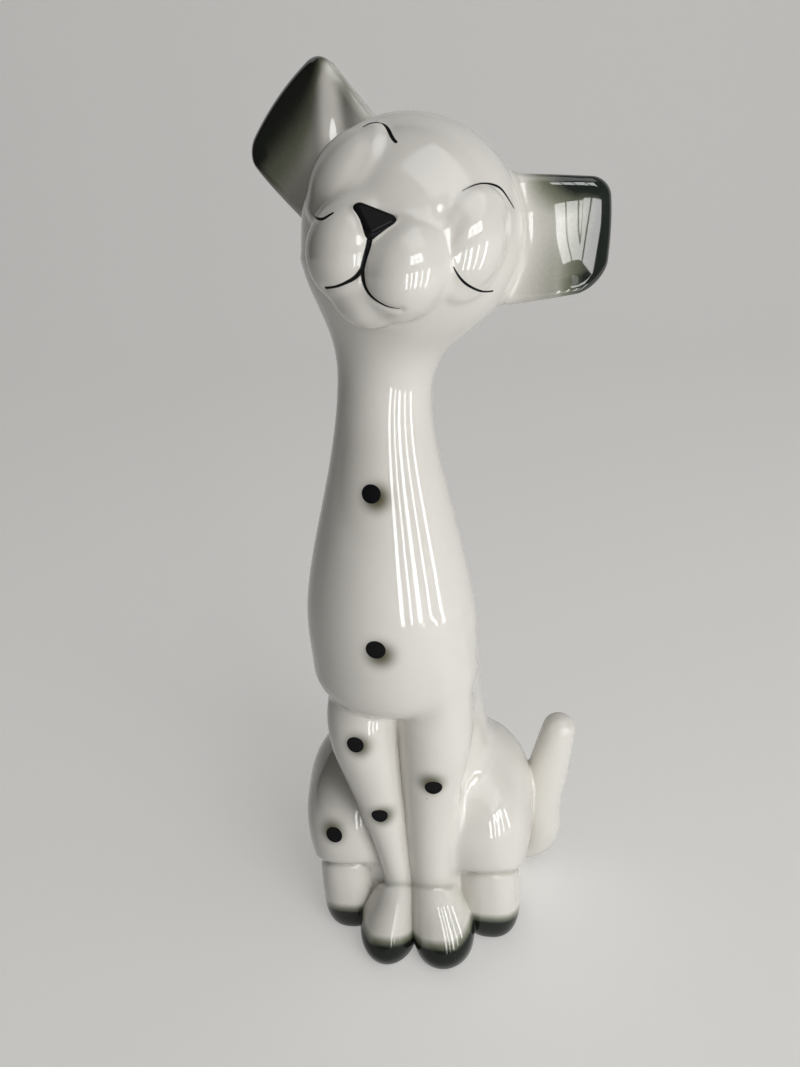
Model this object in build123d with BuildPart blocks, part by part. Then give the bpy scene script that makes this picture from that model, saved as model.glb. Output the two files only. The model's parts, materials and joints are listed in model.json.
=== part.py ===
from build123d import *
import os
from math import cos, radians, sin

# A sitting, long-necked spotted dog figurine in slip-cast glazed ceramic.
# The dog faces -Y, its left side is +X, it stands on Z = 0, and the origin is where the base rests.
# The hollow body and head are cast in moulds. Legs, paws, ears, eyelids, muzzle and tail are castings
# luted on with slip, so each one is cut to the form that carries it and stops a slip film short of it.

# Driving dimensions, all in millimetres and degrees

# Luting, walls and base
slip_gap = 0.2
wall = 5.0
base_thickness = 5.0
base_ledge = 3.0
vent_radius = 4.0
vent_back = 16.0

# Seat and rump, the lower part of the body
seat_height = 25.0
seat_half_width = 33.0
seat_half_depth = 29.0
seat_back = 12.0
foot_inset = 2.0
waist_height = 95.0
waist_half_width = 27.8
waist_half_depth = 26.0
waist_back = 3.5
rump_height = 44.0
rump_back = 16.0
rump_spread = 24.0
rump_half_width = 20.5
rump_half_depth = 26.0
rump_half_height = 28.0

# Chest and neck, the upper part of the body
chest_height = 135.0
chest_half_width = 28.8
chest_half_depth = 26.5
chest_forward = 5.5
chest_shift = -1.0
chest_drop = 28.5
chest_round = 16.0
neck_height = 215.0
neck_radius = 14.2
neck_forward = 7.0
neck_shift = 3.5
neck_swell = 1.4
collar_rise = 14.0
collar_radius = 15.0
collar_shift = 5.8
spigot_height = 8.0
spigot_radius = 12.0
spigot_bore = 8.5

# Head, turned and tilted towards its own left
head_radius = 29.6
head_rise = 31.5
head_shift = 9.7
head_forward = 1.0
head_turn_angle = -5.0
head_nod_angle = -4.0
head_tilt_angle = 31.0
funnel_rise = 20.0
funnel_radius = 24.5

# Muzzle and nose
muzzle_drop_angle = 13.5
muzzle_sink = 2.0
muzzle_level_angle = -9.0
pad_radius = 10.4
pad_spread = 6.2
chin_radius = 9.0
chin_drop = 8.5
nose_radius = 4.6
nose_height = 9.6
nose_forward = 8.0

# Closed eyelids
eyelid_radius = 9.0
eyelid_bulge = 3.0
eyelid_turn_angle = 45.0
eyelid_lift_angle = 13.0

# Ears, the left one set higher than the right
ear_turn_angle = 105.0
ear_length = 22.0
ear_root = 9.0
ear_root_width = 33.0
ear_root_thickness = 11.0
ear_rim_width = 30.0
ear_rim_thickness = 6.0
ear_rim_round = 2.0
ear_corner = 6.0
ear_edge_share = 0.45
left_ear_lift_angle = 20.0
left_ear_rise_angle = 29.0
right_ear_lift_angle = 14.0
right_ear_rise_angle = 22.0

# Forelegs and forepaws
wrist_radius = 7.4
shin_radius = 8.0
wrist_forward = 18.0
elbow_height = 72.0
elbow_radius = 9.7
elbow_forward = 17.0
shoulder_height = 104.0
shoulder_radius = 12.3
shoulder_forward = 14.5
shoulder_reach = 12.6
withers_rise = 24.0
forepaw_half_width = 10.8
forepaw_half_depth = 14.8
forepaw_half_height = 15.2
forepaw_forward = 21.5
forepaw_height = 10.0

# Haunches and hind paws
haunch_spread = 29.5
haunch_half_width = 15.2
haunch_half_depth = 27.0
haunch_half_height = 26.0
haunch_height = 42.0
haunch_back = 4.5
hind_paw_spread = 28.5
hind_paw_half_width = 12.0
hind_paw_half_depth = 15.5
hind_paw_half_height = 15.0
hind_paw_forward = 7.0
hind_paw_height = 9.0

# Tail
tail_radius = 6.8
tail_lift = 2.0
tail_back = 20.5
tail_inset = 8.0
tail_reach = 50.0
tail_height = 70.0
tail_lean = 4.5
tail_bend = 10.5

# Places worked out from the dimensions above

sides = {"left": 1, "right": -1}
collar_centre = Vector(collar_shift, -neck_forward, neck_height + collar_rise)
head_centre = collar_centre + Vector(head_shift, -head_forward, head_rise)
head_frame = Pos(head_centre) * Rot(0, 0, head_turn_angle) * Rot(head_nod_angle, 0, 0) * Rot(0, head_tilt_angle, 0)
left_half_space = Plane.YZ.offset(slip_gap / 2)
right_half_space = Plane.YZ.offset(-slip_gap / 2)


def on_skull(turn, lift, depth):
    """Point at the given depth under the skull: turned from straight ahead to the dog's left, and lifted."""
    reach = head_radius - depth
    return (
        reach * cos(radians(lift)) * sin(radians(turn)),
        -reach * cos(radians(lift)) * cos(radians(turn)),
        reach * sin(radians(lift)),
    )


muzzle_frame = head_frame * Pos(on_skull(0, -muzzle_drop_angle, muzzle_sink)) * Rot(0, muzzle_level_angle, 0)


def seat_sections(inset):
    """Ellipses of the lower body, from the floor up into the chest: height, back, half width, half depth."""
    rows = (
        (0, seat_back, seat_half_width - foot_inset, seat_half_depth - foot_inset / 2),
        (seat_height, seat_back, seat_half_width, seat_half_depth),
        (2 * seat_height, seat_back, seat_half_width, seat_half_depth),
        (
            (2 * seat_height + waist_height) / 2,
            (seat_back + waist_back) / 2,
            (seat_half_width + waist_half_width) / 2 - foot_inset / 2,
            (seat_half_depth + waist_half_depth) / 2,
        ),
        (waist_height, waist_back, waist_half_width, waist_half_depth),
        (
            (waist_height + chest_height) / 2,
            (waist_back - chest_forward) / 2,
            (waist_half_width + chest_half_width) / 2 - foot_inset / 2,
            (waist_half_depth + chest_half_depth) / 2,
        ),
        (chest_height, -chest_forward, chest_half_width - foot_inset, chest_half_depth - foot_inset),
    )
    return [((0, back, height), width - inset, depth - inset) for height, back, width, depth in rows]


def chest_sections(inset):
    """Ellipses from the widest part of the chest up the tapering neck: centre, half width, half depth."""
    rows = []
    for share, swell in ((0, 0), (1 / 3, neck_swell), (2 / 3, 0), (1, 0)):
        centre = (
            chest_shift + share**2 * (neck_shift - chest_shift),
            -chest_forward - share * (neck_forward - chest_forward),
            chest_height + share * (neck_height - chest_height),
        )
        half_width = chest_half_width + share * (neck_radius - chest_half_width) + swell
        half_depth = chest_half_depth + share * (neck_radius - chest_half_depth) + swell
        rows.append((centre, half_width - inset, half_depth - inset))
    return rows


def stack(sections):
    """Smooth solid through level ellipses."""
    with BuildPart() as form:
        for centre, half_width, half_depth in sections:
            with BuildSketch(Plane(centre)):
                Ellipse(half_width, half_depth)
        loft()
    return form.part


def lobe(centre, half_width, half_depth, half_height):
    """Egg-like lobe: a ball drawn out to its own half size along each axis."""
    with BuildPart() as ball:
        Sphere(half_height)
        scale(by=(half_width / half_height, half_depth / half_height, 1))
    with BuildPart() as form:
        with Locations(centre):
            add(ball.part)
    return form.part


def body_form(grow=0.0):
    """Outer form of the body: seat, two rump lobes, chest and neck, up to the collar."""
    collar = [(collar_centre, collar_radius + grow, collar_radius + grow)]
    with BuildPart() as form:
        add(stack(seat_sections(-grow)))
        add(stack(chest_sections(-grow) + collar))
        add(chest_underside(grow))
        rump_centre = (rump_spread, rump_back, rump_height)
        rump = lobe(rump_centre, rump_half_width + grow, rump_half_depth + grow, rump_half_height + grow)
        add(rump)
        mirror(rump, about=Plane.YZ)
        split(bisect_by=Plane.XY, keep=Keep.TOP)
    return form.part


def chest_underside(grow=0.0):
    """Blunt lower half of the chest, which overhangs the forelegs."""
    with BuildPart() as form:
        with BuildSketch(Plane((chest_shift, -chest_forward, chest_height))):
            Ellipse(chest_half_width + grow, chest_half_depth + grow)
        extrude(amount=-chest_drop - grow)
        fillet(form.edges().sort_by(Axis.Z)[0], chest_round)
    return form.part


def body_cavity():
    """Hollow left inside the body by the casting, from the base up through the neck."""
    bore = [(collar_centre + Vector(0, 0, spigot_height), spigot_bore, spigot_bore)]
    with BuildPart() as form:
        add(stack(seat_sections(wall + base_ledge)))
        add(stack(chest_sections(wall) + bore))
    return form.part


def skull_form(grow=0.0):
    """Outer form of the head: a ball on a funnel that narrows to the collar."""
    with BuildPart() as form:
        with Locations(head_centre):
            Sphere(head_radius + grow)
        with BuildSketch(Plane(collar_centre + Vector(0, 0, slip_gap))):
            Circle(collar_radius + grow)
        middle = collar_centre + Vector(head_shift * funnel_rise / head_rise, 0, funnel_rise)
        with BuildSketch(Plane(middle)):
            Circle(funnel_radius + grow)
        loft()
    return form.part


def muzzle_form(grow=0.0):
    """Two whisker pads over a chin."""
    with BuildPart(Plane(muzzle_frame)) as form:
        with Locations((pad_spread, 0, 0), (-pad_spread, 0, 0)):
            Sphere(pad_radius + grow)
        with Locations((0, 0, -chin_drop)):
            Sphere(chin_radius + grow)
    return form.part


def foreleg_form(side, grow=0.0):
    """Leg through level circles, from inside the paw up into the shoulder; both legs meet on the middle plane."""
    rows = (
        (forepaw_height, wrist_radius, wrist_forward, wrist_radius),
        ((forepaw_height + elbow_height) / 2, shin_radius, wrist_forward, shin_radius),
        (elbow_height, elbow_radius + slip_gap, elbow_forward, elbow_radius),
        (shoulder_height, shoulder_reach, shoulder_forward, shoulder_radius),
        (shoulder_height + withers_rise, shoulder_reach, shoulder_forward / 2, shoulder_radius),
    )
    return stack([((side * reach, -ahead, height), radius + grow, radius + grow)
                  for height, reach, ahead, radius in rows])


def forepaw_form(side, grow=0.0):
    """Round forepaw."""
    centre = (side * forepaw_half_width, -forepaw_forward, forepaw_height)
    return lobe(centre, forepaw_half_width + grow, forepaw_half_depth + grow, forepaw_half_height + grow)


def haunch_form(side, grow=0.0):
    """Round thigh of the folded hind leg."""
    centre = (side * haunch_spread, haunch_back, haunch_height)
    return lobe(centre, haunch_half_width + grow, haunch_half_depth + grow, haunch_half_height + grow)


def hind_paw_form(side, grow=0.0):
    """Round hind paw."""
    centre = (side * hind_paw_spread, -hind_paw_forward, hind_paw_height)
    return lobe(centre, hind_paw_half_width + grow, hind_paw_half_depth + grow, hind_paw_half_height + grow)


body_seat = body_form(slip_gap)
skull_seat = skull_form(slip_gap)
muzzle_seat = muzzle_form(slip_gap)

# Body shell, open below for the base and ending above in a spigot for the head

with BuildPart() as body_shell:
    add(body_form())
    with BuildSketch(Plane(collar_centre)):
        Circle(spigot_radius)
    extrude(amount=spigot_height)
    add(body_cavity(), mode=Mode.SUBTRACT)
    floor_centre, floor_half_width, floor_half_depth = seat_sections(wall)[0]
    with BuildSketch(Plane(floor_centre)):
        Ellipse(floor_half_width, floor_half_depth)
    extrude(amount=base_thickness + slip_gap, mode=Mode.SUBTRACT)

# Base disc, let into the bottom of the body under its ledge, with a vent behind the middle

with BuildPart() as base_disc:
    with BuildSketch(Plane(floor_centre)):
        Ellipse(floor_half_width - slip_gap, floor_half_depth - slip_gap)
        with Locations((0, vent_back)):
            Circle(vent_radius, mode=Mode.SUBTRACT)
    extrude(amount=base_thickness)

# Head shell, hollow above the spigot's socket

with BuildPart() as head_shell:
    add(skull_form())
    with BuildSketch(Plane(collar_centre)):
        Circle(spigot_radius + slip_gap)
    extrude(amount=spigot_height + slip_gap, mode=Mode.SUBTRACT)
    with BuildPart(mode=Mode.PRIVATE) as head_cavity:
        with Locations(head_centre):
            Sphere(head_radius - wall)
        socket_top = Plane(collar_centre + Vector(0, 0, spigot_height))
        split(bisect_by=socket_top, keep=Keep.TOP)
    add(head_cavity.part, mode=Mode.SUBTRACT)

# Muzzle and nose

with BuildPart() as muzzle:
    add(muzzle_form())
    add(skull_seat, mode=Mode.SUBTRACT)

with BuildPart() as nose:
    with Locations(muzzle_frame * Pos(0, -nose_forward, nose_height) * Rot(90, 0, 0)):
        Sphere(nose_radius)
    add(muzzle_seat, mode=Mode.SUBTRACT)
    add(skull_seat, mode=Mode.SUBTRACT)

pieces = {
    "body_shell": body_shell,
    "base_disc": base_disc,
    "head_shell": head_shell,
    "muzzle": muzzle,
    "nose": nose,
}

# Eyelids and ears, one of each on either side of the head

for name, side in sides.items():
    eyelid_place = on_skull(side * eyelid_turn_angle, eyelid_lift_angle, eyelid_radius - eyelid_bulge)
    with BuildPart() as eyelid:
        with Locations(head_frame * Pos(eyelid_place) * Rot(90 - eyelid_lift_angle, 0, side * eyelid_turn_angle)):
            Sphere(eyelid_radius)
        add(skull_seat, mode=Mode.SUBTRACT)
    pieces[f"{name}_eyelid"] = eyelid

    lift = left_ear_lift_angle if side > 0 else right_ear_lift_angle
    rise = left_ear_rise_angle if side > 0 else right_ear_rise_angle
    ear_frame = head_frame * Pos(on_skull(side * ear_turn_angle, lift, 0)) * Rot(0, side * (90 - rise), 0)
    ear_plane = Plane(ear_frame)
    with BuildPart() as ear:
        with BuildSketch(ear_plane.offset(-ear_root)):
            RectangleRounded(ear_root_width, ear_root_thickness, ear_root_thickness * ear_edge_share)
        with BuildSketch(ear_plane.offset(ear_length)):
            RectangleRounded(ear_rim_width, ear_rim_thickness, ear_rim_thickness * ear_edge_share)
        loft()
        with BuildSketch(Plane(ear_plane.origin, x_dir=ear_plane.x_dir, z_dir=ear_plane.y_dir)):
            RectangleRounded(ear_root_width, 2 * ear_length, ear_corner)
        extrude(amount=ear_root_thickness, both=True, mode=Mode.INTERSECT)
        fillet(ear.faces().filter_by(GeomType.PLANE).edges(), ear_rim_round)
        add(skull_seat, mode=Mode.SUBTRACT)
    pieces[f"{name}_ear"] = ear

# Paws and haunches, made on the dog's left and mirrored; the forepaws meet on the middle plane

with BuildPart() as left_forepaw:
    add(forepaw_form(1))
    split(bisect_by=Plane.XY, keep=Keep.TOP)
    split(bisect_by=left_half_space, keep=Keep.TOP)
    add(body_seat, mode=Mode.SUBTRACT)

with BuildPart() as left_hind_paw:
    add(hind_paw_form(1))
    split(bisect_by=Plane.XY, keep=Keep.TOP)
    add(body_seat, mode=Mode.SUBTRACT)
    add(forepaw_form(1, slip_gap), mode=Mode.SUBTRACT)
    add(foreleg_form(1, slip_gap), mode=Mode.SUBTRACT)

with BuildPart() as left_haunch:
    add(haunch_form(1))
    split(bisect_by=Plane.XY, keep=Keep.TOP)
    add(body_seat, mode=Mode.SUBTRACT)
    add(hind_paw_form(1, slip_gap), mode=Mode.SUBTRACT)
    add(foreleg_form(1, slip_gap), mode=Mode.SUBTRACT)

for name, piece in {"forepaw": left_forepaw, "hind_paw": left_hind_paw, "haunch": left_haunch}.items():
    with BuildPart() as twin:
        mirror(piece.part, about=Plane.YZ)
    pieces[f"left_{name}"] = piece
    pieces[f"right_{name}"] = twin

# Forelegs, cut to the paws below and to the overhanging chest above

for name, side in sides.items():
    with BuildPart() as foreleg:
        add(foreleg_form(side))
        split(
            bisect_by=left_half_space if side > 0 else right_half_space,
            keep=Keep.TOP if side > 0 else Keep.BOTTOM,
        )
        add(body_seat, mode=Mode.SUBTRACT)
        add(forepaw_form(side, slip_gap), mode=Mode.SUBTRACT)
    pieces[f"{name}_foreleg"] = foreleg

# Tail, out of the rump on the dog's left and up beside the haunch

tail_base = tail_radius + tail_lift
tail_route = (
    (seat_half_width - tail_inset, tail_back, tail_base),
    (tail_reach, tail_back, tail_base),
    (tail_reach + tail_lean, tail_back + tail_lift, tail_height),
)
with BuildPart() as tail:
    with BuildLine() as tail_line:
        FilletPolyline(*tail_route, radius=tail_bend)
    with BuildSketch(Plane(tail_route[0], z_dir=(1, 0, 0))):
        Circle(tail_radius)
    sweep(path=tail_line.wire())
    with Locations(tail_route[-1]):
        Sphere(tail_radius)
    add(body_seat, mode=Mode.SUBTRACT)
    add(haunch_form(sides["left"], slip_gap), mode=Mode.SUBTRACT)
pieces["tail"] = tail

os.makedirs("parts", exist_ok=True)
for name, piece in pieces.items():
    piece.part.label = name
    export_step(piece.part, f"parts/{name}.step")
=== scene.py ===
"""Sitting, long-necked spotted dog figurine: slip-cast ceramic under a glossy glaze.

The dog faces -Y, its left side is +X and it stands on Z = 0. Shapes are worked out in millimetres and
put into the meshes in metres. Every casting has a field, the distance to its surface, negative inside.
The soft union of the fields is the glazed skin. Each casting's own mesh follows that skin where the
casting shows, and runs on a little under it where a neighbour covers it.
"""
import json
from functools import partial

import bpy
import numpy as np
from bpy.props import FloatProperty, FloatVectorProperty, PointerProperty
from bpy.types import Operator, Panel, PropertyGroup
from mathutils import Matrix, Vector

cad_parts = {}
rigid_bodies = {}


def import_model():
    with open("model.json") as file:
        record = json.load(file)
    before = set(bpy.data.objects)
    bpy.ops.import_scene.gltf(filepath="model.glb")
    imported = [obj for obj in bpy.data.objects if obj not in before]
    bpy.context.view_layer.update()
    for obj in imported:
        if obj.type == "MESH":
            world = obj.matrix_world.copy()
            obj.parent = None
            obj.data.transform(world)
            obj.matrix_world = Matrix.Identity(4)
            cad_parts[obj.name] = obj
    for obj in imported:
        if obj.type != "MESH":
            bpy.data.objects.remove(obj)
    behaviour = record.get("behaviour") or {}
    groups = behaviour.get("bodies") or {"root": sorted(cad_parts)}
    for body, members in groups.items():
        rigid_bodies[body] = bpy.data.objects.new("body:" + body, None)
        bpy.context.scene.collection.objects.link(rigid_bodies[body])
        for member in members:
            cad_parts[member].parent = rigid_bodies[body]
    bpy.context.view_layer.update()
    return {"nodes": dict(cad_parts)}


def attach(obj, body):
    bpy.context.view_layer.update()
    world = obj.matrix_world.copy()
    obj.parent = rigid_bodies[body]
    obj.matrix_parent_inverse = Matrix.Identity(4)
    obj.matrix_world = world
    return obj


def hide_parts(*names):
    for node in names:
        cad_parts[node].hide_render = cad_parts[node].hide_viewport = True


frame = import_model()

bl_info = {
    "name": "Spotted ceramic dog",
    "version": (1, 0, 0),
    "blender": (4, 5, 0),
    "location": "View3D > Sidebar > Dog",
    "description": "Builds a sitting, long-necked spotted dog figurine in glazed ceramic",
    "category": "Object",
}

MM = 0.001
SIDES = {"left": 1, "right": -1}
TINY = 1e-9

# Photograph frame in pixels, and the camera that sees the figure as it does
IMAGE_SIZE = np.array([800.0, 1067.0])
FOCAL_PIXELS = 801.0
SENSOR_MM = 36.0
CAMERA_SIDE_ANGLE = 10.7
CAMERA_DOWN_ANGLE = 25.4
CAMERA_ROLL_ANGLE = -5.0
CAMERA_DISTANCE = 240.0
CAMERA_HEIGHT = 280.0
CAMERA_SIDESTEP = 3.2

# Body sections: height, middle X, middle Y, half width, half depth
SEAT_ROWS = np.array([
    [0, 0, 10, 31, 30],
    [25, 0, 10, 33, 31.5],
    [50, 0, 12.5, 33, 28.5],
    [75, 0, 9.5, 29.5, 26],
    [95, 0, 6, 27.6, 24],
    [115, 0, 1, 27.4, 24],
    [128, 0, -4, 25.4, 23.6],
    [140, 0, -6, 20, 18],
])
CHEST_ROWS = np.array([
    [135, -1, -5.5, 28.8, 26.5],
    [160, -0.3, -6.5, 25.5, 23.8],
    [185, 1.2, -7, 19.5, 18.9],
    [215, 3.5, -7, 14.2, 14.2],
    [232, 6.3, -7, 15.2, 15.2],
    [250, 10.5, -7.5, 20, 20],
])
CHEST_BOTTOM = 106.5
CHEST_ROUND = 16.0
RUMP_CENTRE = np.array([24.0, 16.0, 44.0])
RUMP_HALF = np.array([20.5, 26.0, 28.0])
RECESS_CENTRE = np.array([0.0, 12.0, 0.0])
RECESS_HALF = np.array([26.0, 23.0, 0.0])
RECESS_HEIGHT = 5.2
FOOT_ROUND = 1.4

# Leg and paw sections, each with X measured outwards; the right leg is slimmer above its paw
FORELEG_ROWS = {
    "left": np.array([
        [8, 7.0, -18, 7.6, 7.3],
        [24, 7.0, -18, 7.6, 7.3],
        [41, 7.7, -18, 8.3, 8.0],
        [72, 9.8, -17, 10.3, 10.0],
        [104, 12.6, -14.5, 12.9, 12.5],
        [128, 10.0, -7.3, 9.0, 9.0],
    ]),
    "right": np.array([
        [8, 5.3, -18, 5.7, 6.9],
        [26, 5.3, -18, 5.7, 6.9],
        [41, 5.9, -18, 6.3, 7.3],
        [56, 7.5, -17.6, 7.9, 8.5],
        [72, 9.5, -17, 9.9, 9.8],
        [104, 12.6, -14.5, 12.8, 12.5],
        [128, 10.0, -7.3, 9.0, 9.0],
    ]),
}
FOREPAW_ROWS = {
    "left": np.array([
        [0, 11.1, -22, 11.5, 13.8],
        [6, 11.2, -22.8, 12.0, 14.8],
        [12, 10.9, -21.8, 11.6, 13.4],
        [18, 9.5, -20.1, 10.2, 11.0],
        [25, 8.0, -18.7, 8.7, 8.9],
        [33, 7.6, -18, 8.2, 7.6],
    ]),
    "right": np.array([
        [0, 10.3, -22, 10.6, 13.8],
        [6, 10.4, -22.8, 11.1, 14.8],
        [12, 10.1, -21.8, 10.6, 13.4],
        [18, 8.6, -20.1, 9.0, 11.0],
        [25, 6.6, -18.7, 7.1, 8.2],
        [33, 5.8, -18, 6.3, 6.6],
    ]),
}
FOREPAW_ROUND = 1.8
WRIST = np.array([0.0, -18.0, 24.5])
WRIST_SLOPE = 1.0
HAUNCH_CENTRE = np.array([27.0, 4.5, 42.0])
HAUNCH_HALF = np.array([18.0, 27.0, 26.0])
HAUNCH_POWER = 2.4
HIND_PAW_CENTRE = np.array([28.5, -7.0, 9.0])
HIND_PAW_HALF = np.array([12.0, 15.5, 15.0])
HIND_PAW_DRAW = 3.0
HIND_PAW_POWER = 2.4
HOCK = np.array([0.0, -7.0, 24.4])
HOCK_SLOPE = 0.8
HOCK_ROUND = 2.2
RIGHT_HIND_INSET = 1.6

# Tail: points of its middle line and its radius there
TAIL_LINE = np.array([
    [24, 20.5, 9.8],
    [38, 20.5, 9.6],
    [45.6, 20, 14],
    [48.8, 19.6, 30],
    [51.6, 20.2, 50],
    [56, 22, 69.5],
])
TAIL_RADIUS = np.array([6.8, 7.2, 8.2, 8.3, 8.0, 6.4])

# Head: place, turn and forms in its own frame, where -Y is straight ahead
HEAD_CENTRE = np.array([15.5, -8.0, 260.5])
HEAD_TURN_ANGLE = -5.0
HEAD_NOD_ANGLE = -4.0
HEAD_TILT_ANGLE = 31.0
SKULL_HALF = np.array([30.0, 29.5, 28.5])
SKULL_EYE = np.array([0.0, -6.0, 0.0])
MUZZLE_MIDDLE = np.array([0.0, -26.0, -6.5])
MUZZLE_EYE = np.array([0.0, 0.0, -3.0])
MUZZLE_LEVEL_ANGLE = -9.0
PAD_SPREAD = 7.0
PAD_HALF = np.array([10.8, 11.4, 12.4])
CHIN_PLACE = np.array([0.0, 1.5, -9.5])
CHIN_HALF = np.array([8.6, 9.0, 7.5])
NOSE_CORNERS = np.array([[-5.7, -5.85, 9.65], [-1.5, -7.55, 6.4], [1.4, -4.95, 9.45]])
NOSE_ROUND = 2.0
EYELID_TURN_ANGLE = 44.0
EYELID_LIFT_ANGLE = 14.0
EYELID_SINK = 3.0
EYELID_HALF = np.array([9.8, 5.0, 13.4])
EYEBALL_SINK = 1.0
EYEBALL_HALF = np.array([7.6, 4.3, 9.8])
SOCKET_HALF = np.array([12.6, 3.2, 16.4])

# Ears. "root" is the middle of the root in the head's frame, "rise" the angle above level, "length" the
# flap's length, "root_half" and "rim_half" its half widths, "shift" how far the rim's middle lies towards
# the crown, "bow" how far the rim bows out and "corners" the rounding of its upper and lower corners. "fold"
# is the fold's depth, "fold_line" its place at the root and how that changes towards the rim, "bowl" the
# front's curvature and "tilt" how steeply the flap leans back at the top. For the paint, "pale" is how much
# lighter it is along the ridge, "spread" how it fades from the rim and "crown" its strength on the upper edge.
EARS = {
    "left": {
        "root": np.array([27.1, 7.0, 11.7]), "rise": 29.0, "length": 21.2,
        "root_half": 16.2, "rim_half": 13.9, "shift": 1.0, "bow": 1.2, "corners": (4.5, 7.0),
        "fold": 0.2, "fold_line": (0.38, 0.46), "bowl": 0.018, "tilt": 0.23,
        "pale": 0.25, "spread": 1.3, "crown": 1.2,
    },
    "right": {
        "root": np.array([-28.0, 8.0, 3.6]), "rise": 14.5, "length": 23.2,
        "root_half": 16.4, "rim_half": 17.2, "shift": 1.2, "bow": 3.2, "corners": (5.0, 5.0),
        "fold": 1.7, "fold_line": (0.28, 1.22), "bowl": 0.008, "tilt": 0.03,
        "pale": 0.85, "spread": 0.8, "crown": 0.55,
    },
}

# Both ears: how far the root reaches into the head, how far the rim curls back, where the curl starts and
# ends and the taper and the bend start along the flap, half thicknesses, the edge's rounding, the fold's width
# and its fade to the rim, the place of the ridge beside it in fold widths, and half the width of the bowl
EAR_DEPTH = 9.0
EAR_CURL = 4.5
EAR_CURL_START = 0.25
EAR_CURL_LIMIT = 1.4
EAR_TAPER_START = -0.5
EAR_BEND_START = -0.3
EAR_ROOT_HALF_THICKNESS = 5.2
EAR_RIM_HALF_THICKNESS = 2.9
EAR_EDGE_ROUND = 2.4
EAR_FOLD_WIDTH = 4.0
EAR_FOLD_FADE = 0.45
EAR_RIDGE_OFFSET = 1.9
EAR_BOWL_HALF = 12.0

# How widely the slip fills the corner where castings meet, and where narrow fillets grow into wide ones:
# start and width along X or Y
FILLET = {
    "bib": 2.2, "bib_fade": 14.0, "rump": 12.0, "haunch": 9.0, "leg": 11.0, "leg_inner": 1.2, "leg_pair": 1.2,
    "paw": 1.0, "paw_pair": 0.8, "hind_paw": 1.0, "tail": 1.2, "head": 22.0, "muzzle": 5.0, "pads": 4.5,
    "ear": 4.0, "eyelid": 4.0, "eyeball": 1.6, "socket": 4.0, "nose": 1.4,
}
BIB_GROWS_IN_X = (6.0, 12.0)
BIB_GROWS_IN_Y = (-8.0, -10.0)
LEG_GROWS_IN_X = (8.0, 8.0)

# Painted lines on the face, as places in the photograph, with the half width of the line in millimetres. The
# first ones, the mouth, are also pressed into the head and the muzzle, each to its own depth.
PHILTRUM_PIXELS = ((370, 236), (368, 246), (365, 256), (362, 268))
MOUTH_RIGHT_PIXELS = ((362, 268), (355, 277), (345, 283), (335, 287), (324, 288.5))
MOUTH_LEFT_PIXELS = ((362, 268), (364, 285), (370, 296), (380, 304), (390, 308.5), (401, 310))
BROW_RIGHT_PIXELS = ((363, 127), (370, 123.5), (377, 122.5), (383, 124), (389, 131), (394, 140), (396, 142))
BROW_LEFT_PIXELS = (
    (462, 191), (472, 186), (482, 183.5), (490, 184), (500, 188), (506, 195), (511, 203), (514, 208),
)
LASH_RIGHT_PIXELS = ((314, 216), (318, 218.5), (322, 219), (328, 216), (333, 213))
LASH_LEFT_PIXELS = ((453.5, 267), (458, 275), (465, 283), (475, 289), (483, 291.5), (493, 291))
FACE_LINES = (
    (PHILTRUM_PIXELS, (0.75, 0.62, 0.6)),
    (MOUTH_RIGHT_PIXELS, (0.55, 0.55, 0.4, 0.42)),
    (MOUTH_LEFT_PIXELS, (0.55, 0.5, 0.34, 0.12)),
    (BROW_RIGHT_PIXELS, (0.2, 0.42, 0.5, 0.42)),
    (BROW_LEFT_PIXELS, (0.14, 0.3, 0.42, 0.26)),
    (LASH_RIGHT_PIXELS, (0.2, 0.45, 0.3)),
    (LASH_LEFT_PIXELS, (0.16, 0.34, 0.34, 0.26)),
)
LINE_STEPS = 90
GROOVE_LINES = 3
HEAD_GROOVE = 0.3
MUZZLE_GROOVE = 0.55

# Painted spots: places in the photograph with their radius in millimetres and the middle of the smudge round
# them, and guessed ones on the back. Then the distance that stands for no mark at all, how far from a line
# its distance is worked out, and the smudge's width in radii of the spot.
SEEN_SPOTS = (
    ((371, 494), 2.9, (376, 498)),
    ((375.5, 650), 3.2, (380, 655)),
    ((355, 745), 3.0, (358, 746)),
    ((379.5, 816), 3.0, (382, 816)),
    ((433.5, 788), 3.1, (431, 784)),
    ((334, 835), 3.2, (332, 832)),
)
BACK_SPOTS = (
    ((-4.0, 40.0, 178.0), 3.0),
    ((9.0, 40.0, 128.0), 3.2),
    ((-12.0, 60.0, 84.0), 3.2),
    ((16.0, 70.0, 52.0), 3.2),
    ((-30.0, 60.0, 40.0), 3.2),
)
NO_MARK = 50.0
MARK_REACH = 6.0
SMUDGE_WIDTH = 1.5

# Grey-green on the paws: an even faint share over each whole forepaw, then the sprayed dark toes: their top
# with its fade, and how fast it sinks backwards and sideways
PAW_TINT = 0.15
TOE_TOP = 16.5
TOE_FADE = 6.0
TOE_POWER = 1.1
TOE_SINK_BACK = 0.34
TOE_SINK_SIDE = 0.012

# Grey-green in the grooves above the paws, partly sprayed colour and partly painted shade: strength and width
# of a thin and a wide line, and the start and width of the fades that bound them
WRIST_LINES = ((0.12, 1.2), (0.16, 4.5))
WRIST_SIDE = (18.0, -3.0)
WRIST_FRONT = (-8.0, -4.0)
HOCK_LINES = ((0.08, 1.2), (0.1, 4.0))
HOCK_SIDE = (15.0, 3.0)
HOCK_TOP = (46.0, -4.0)

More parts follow.
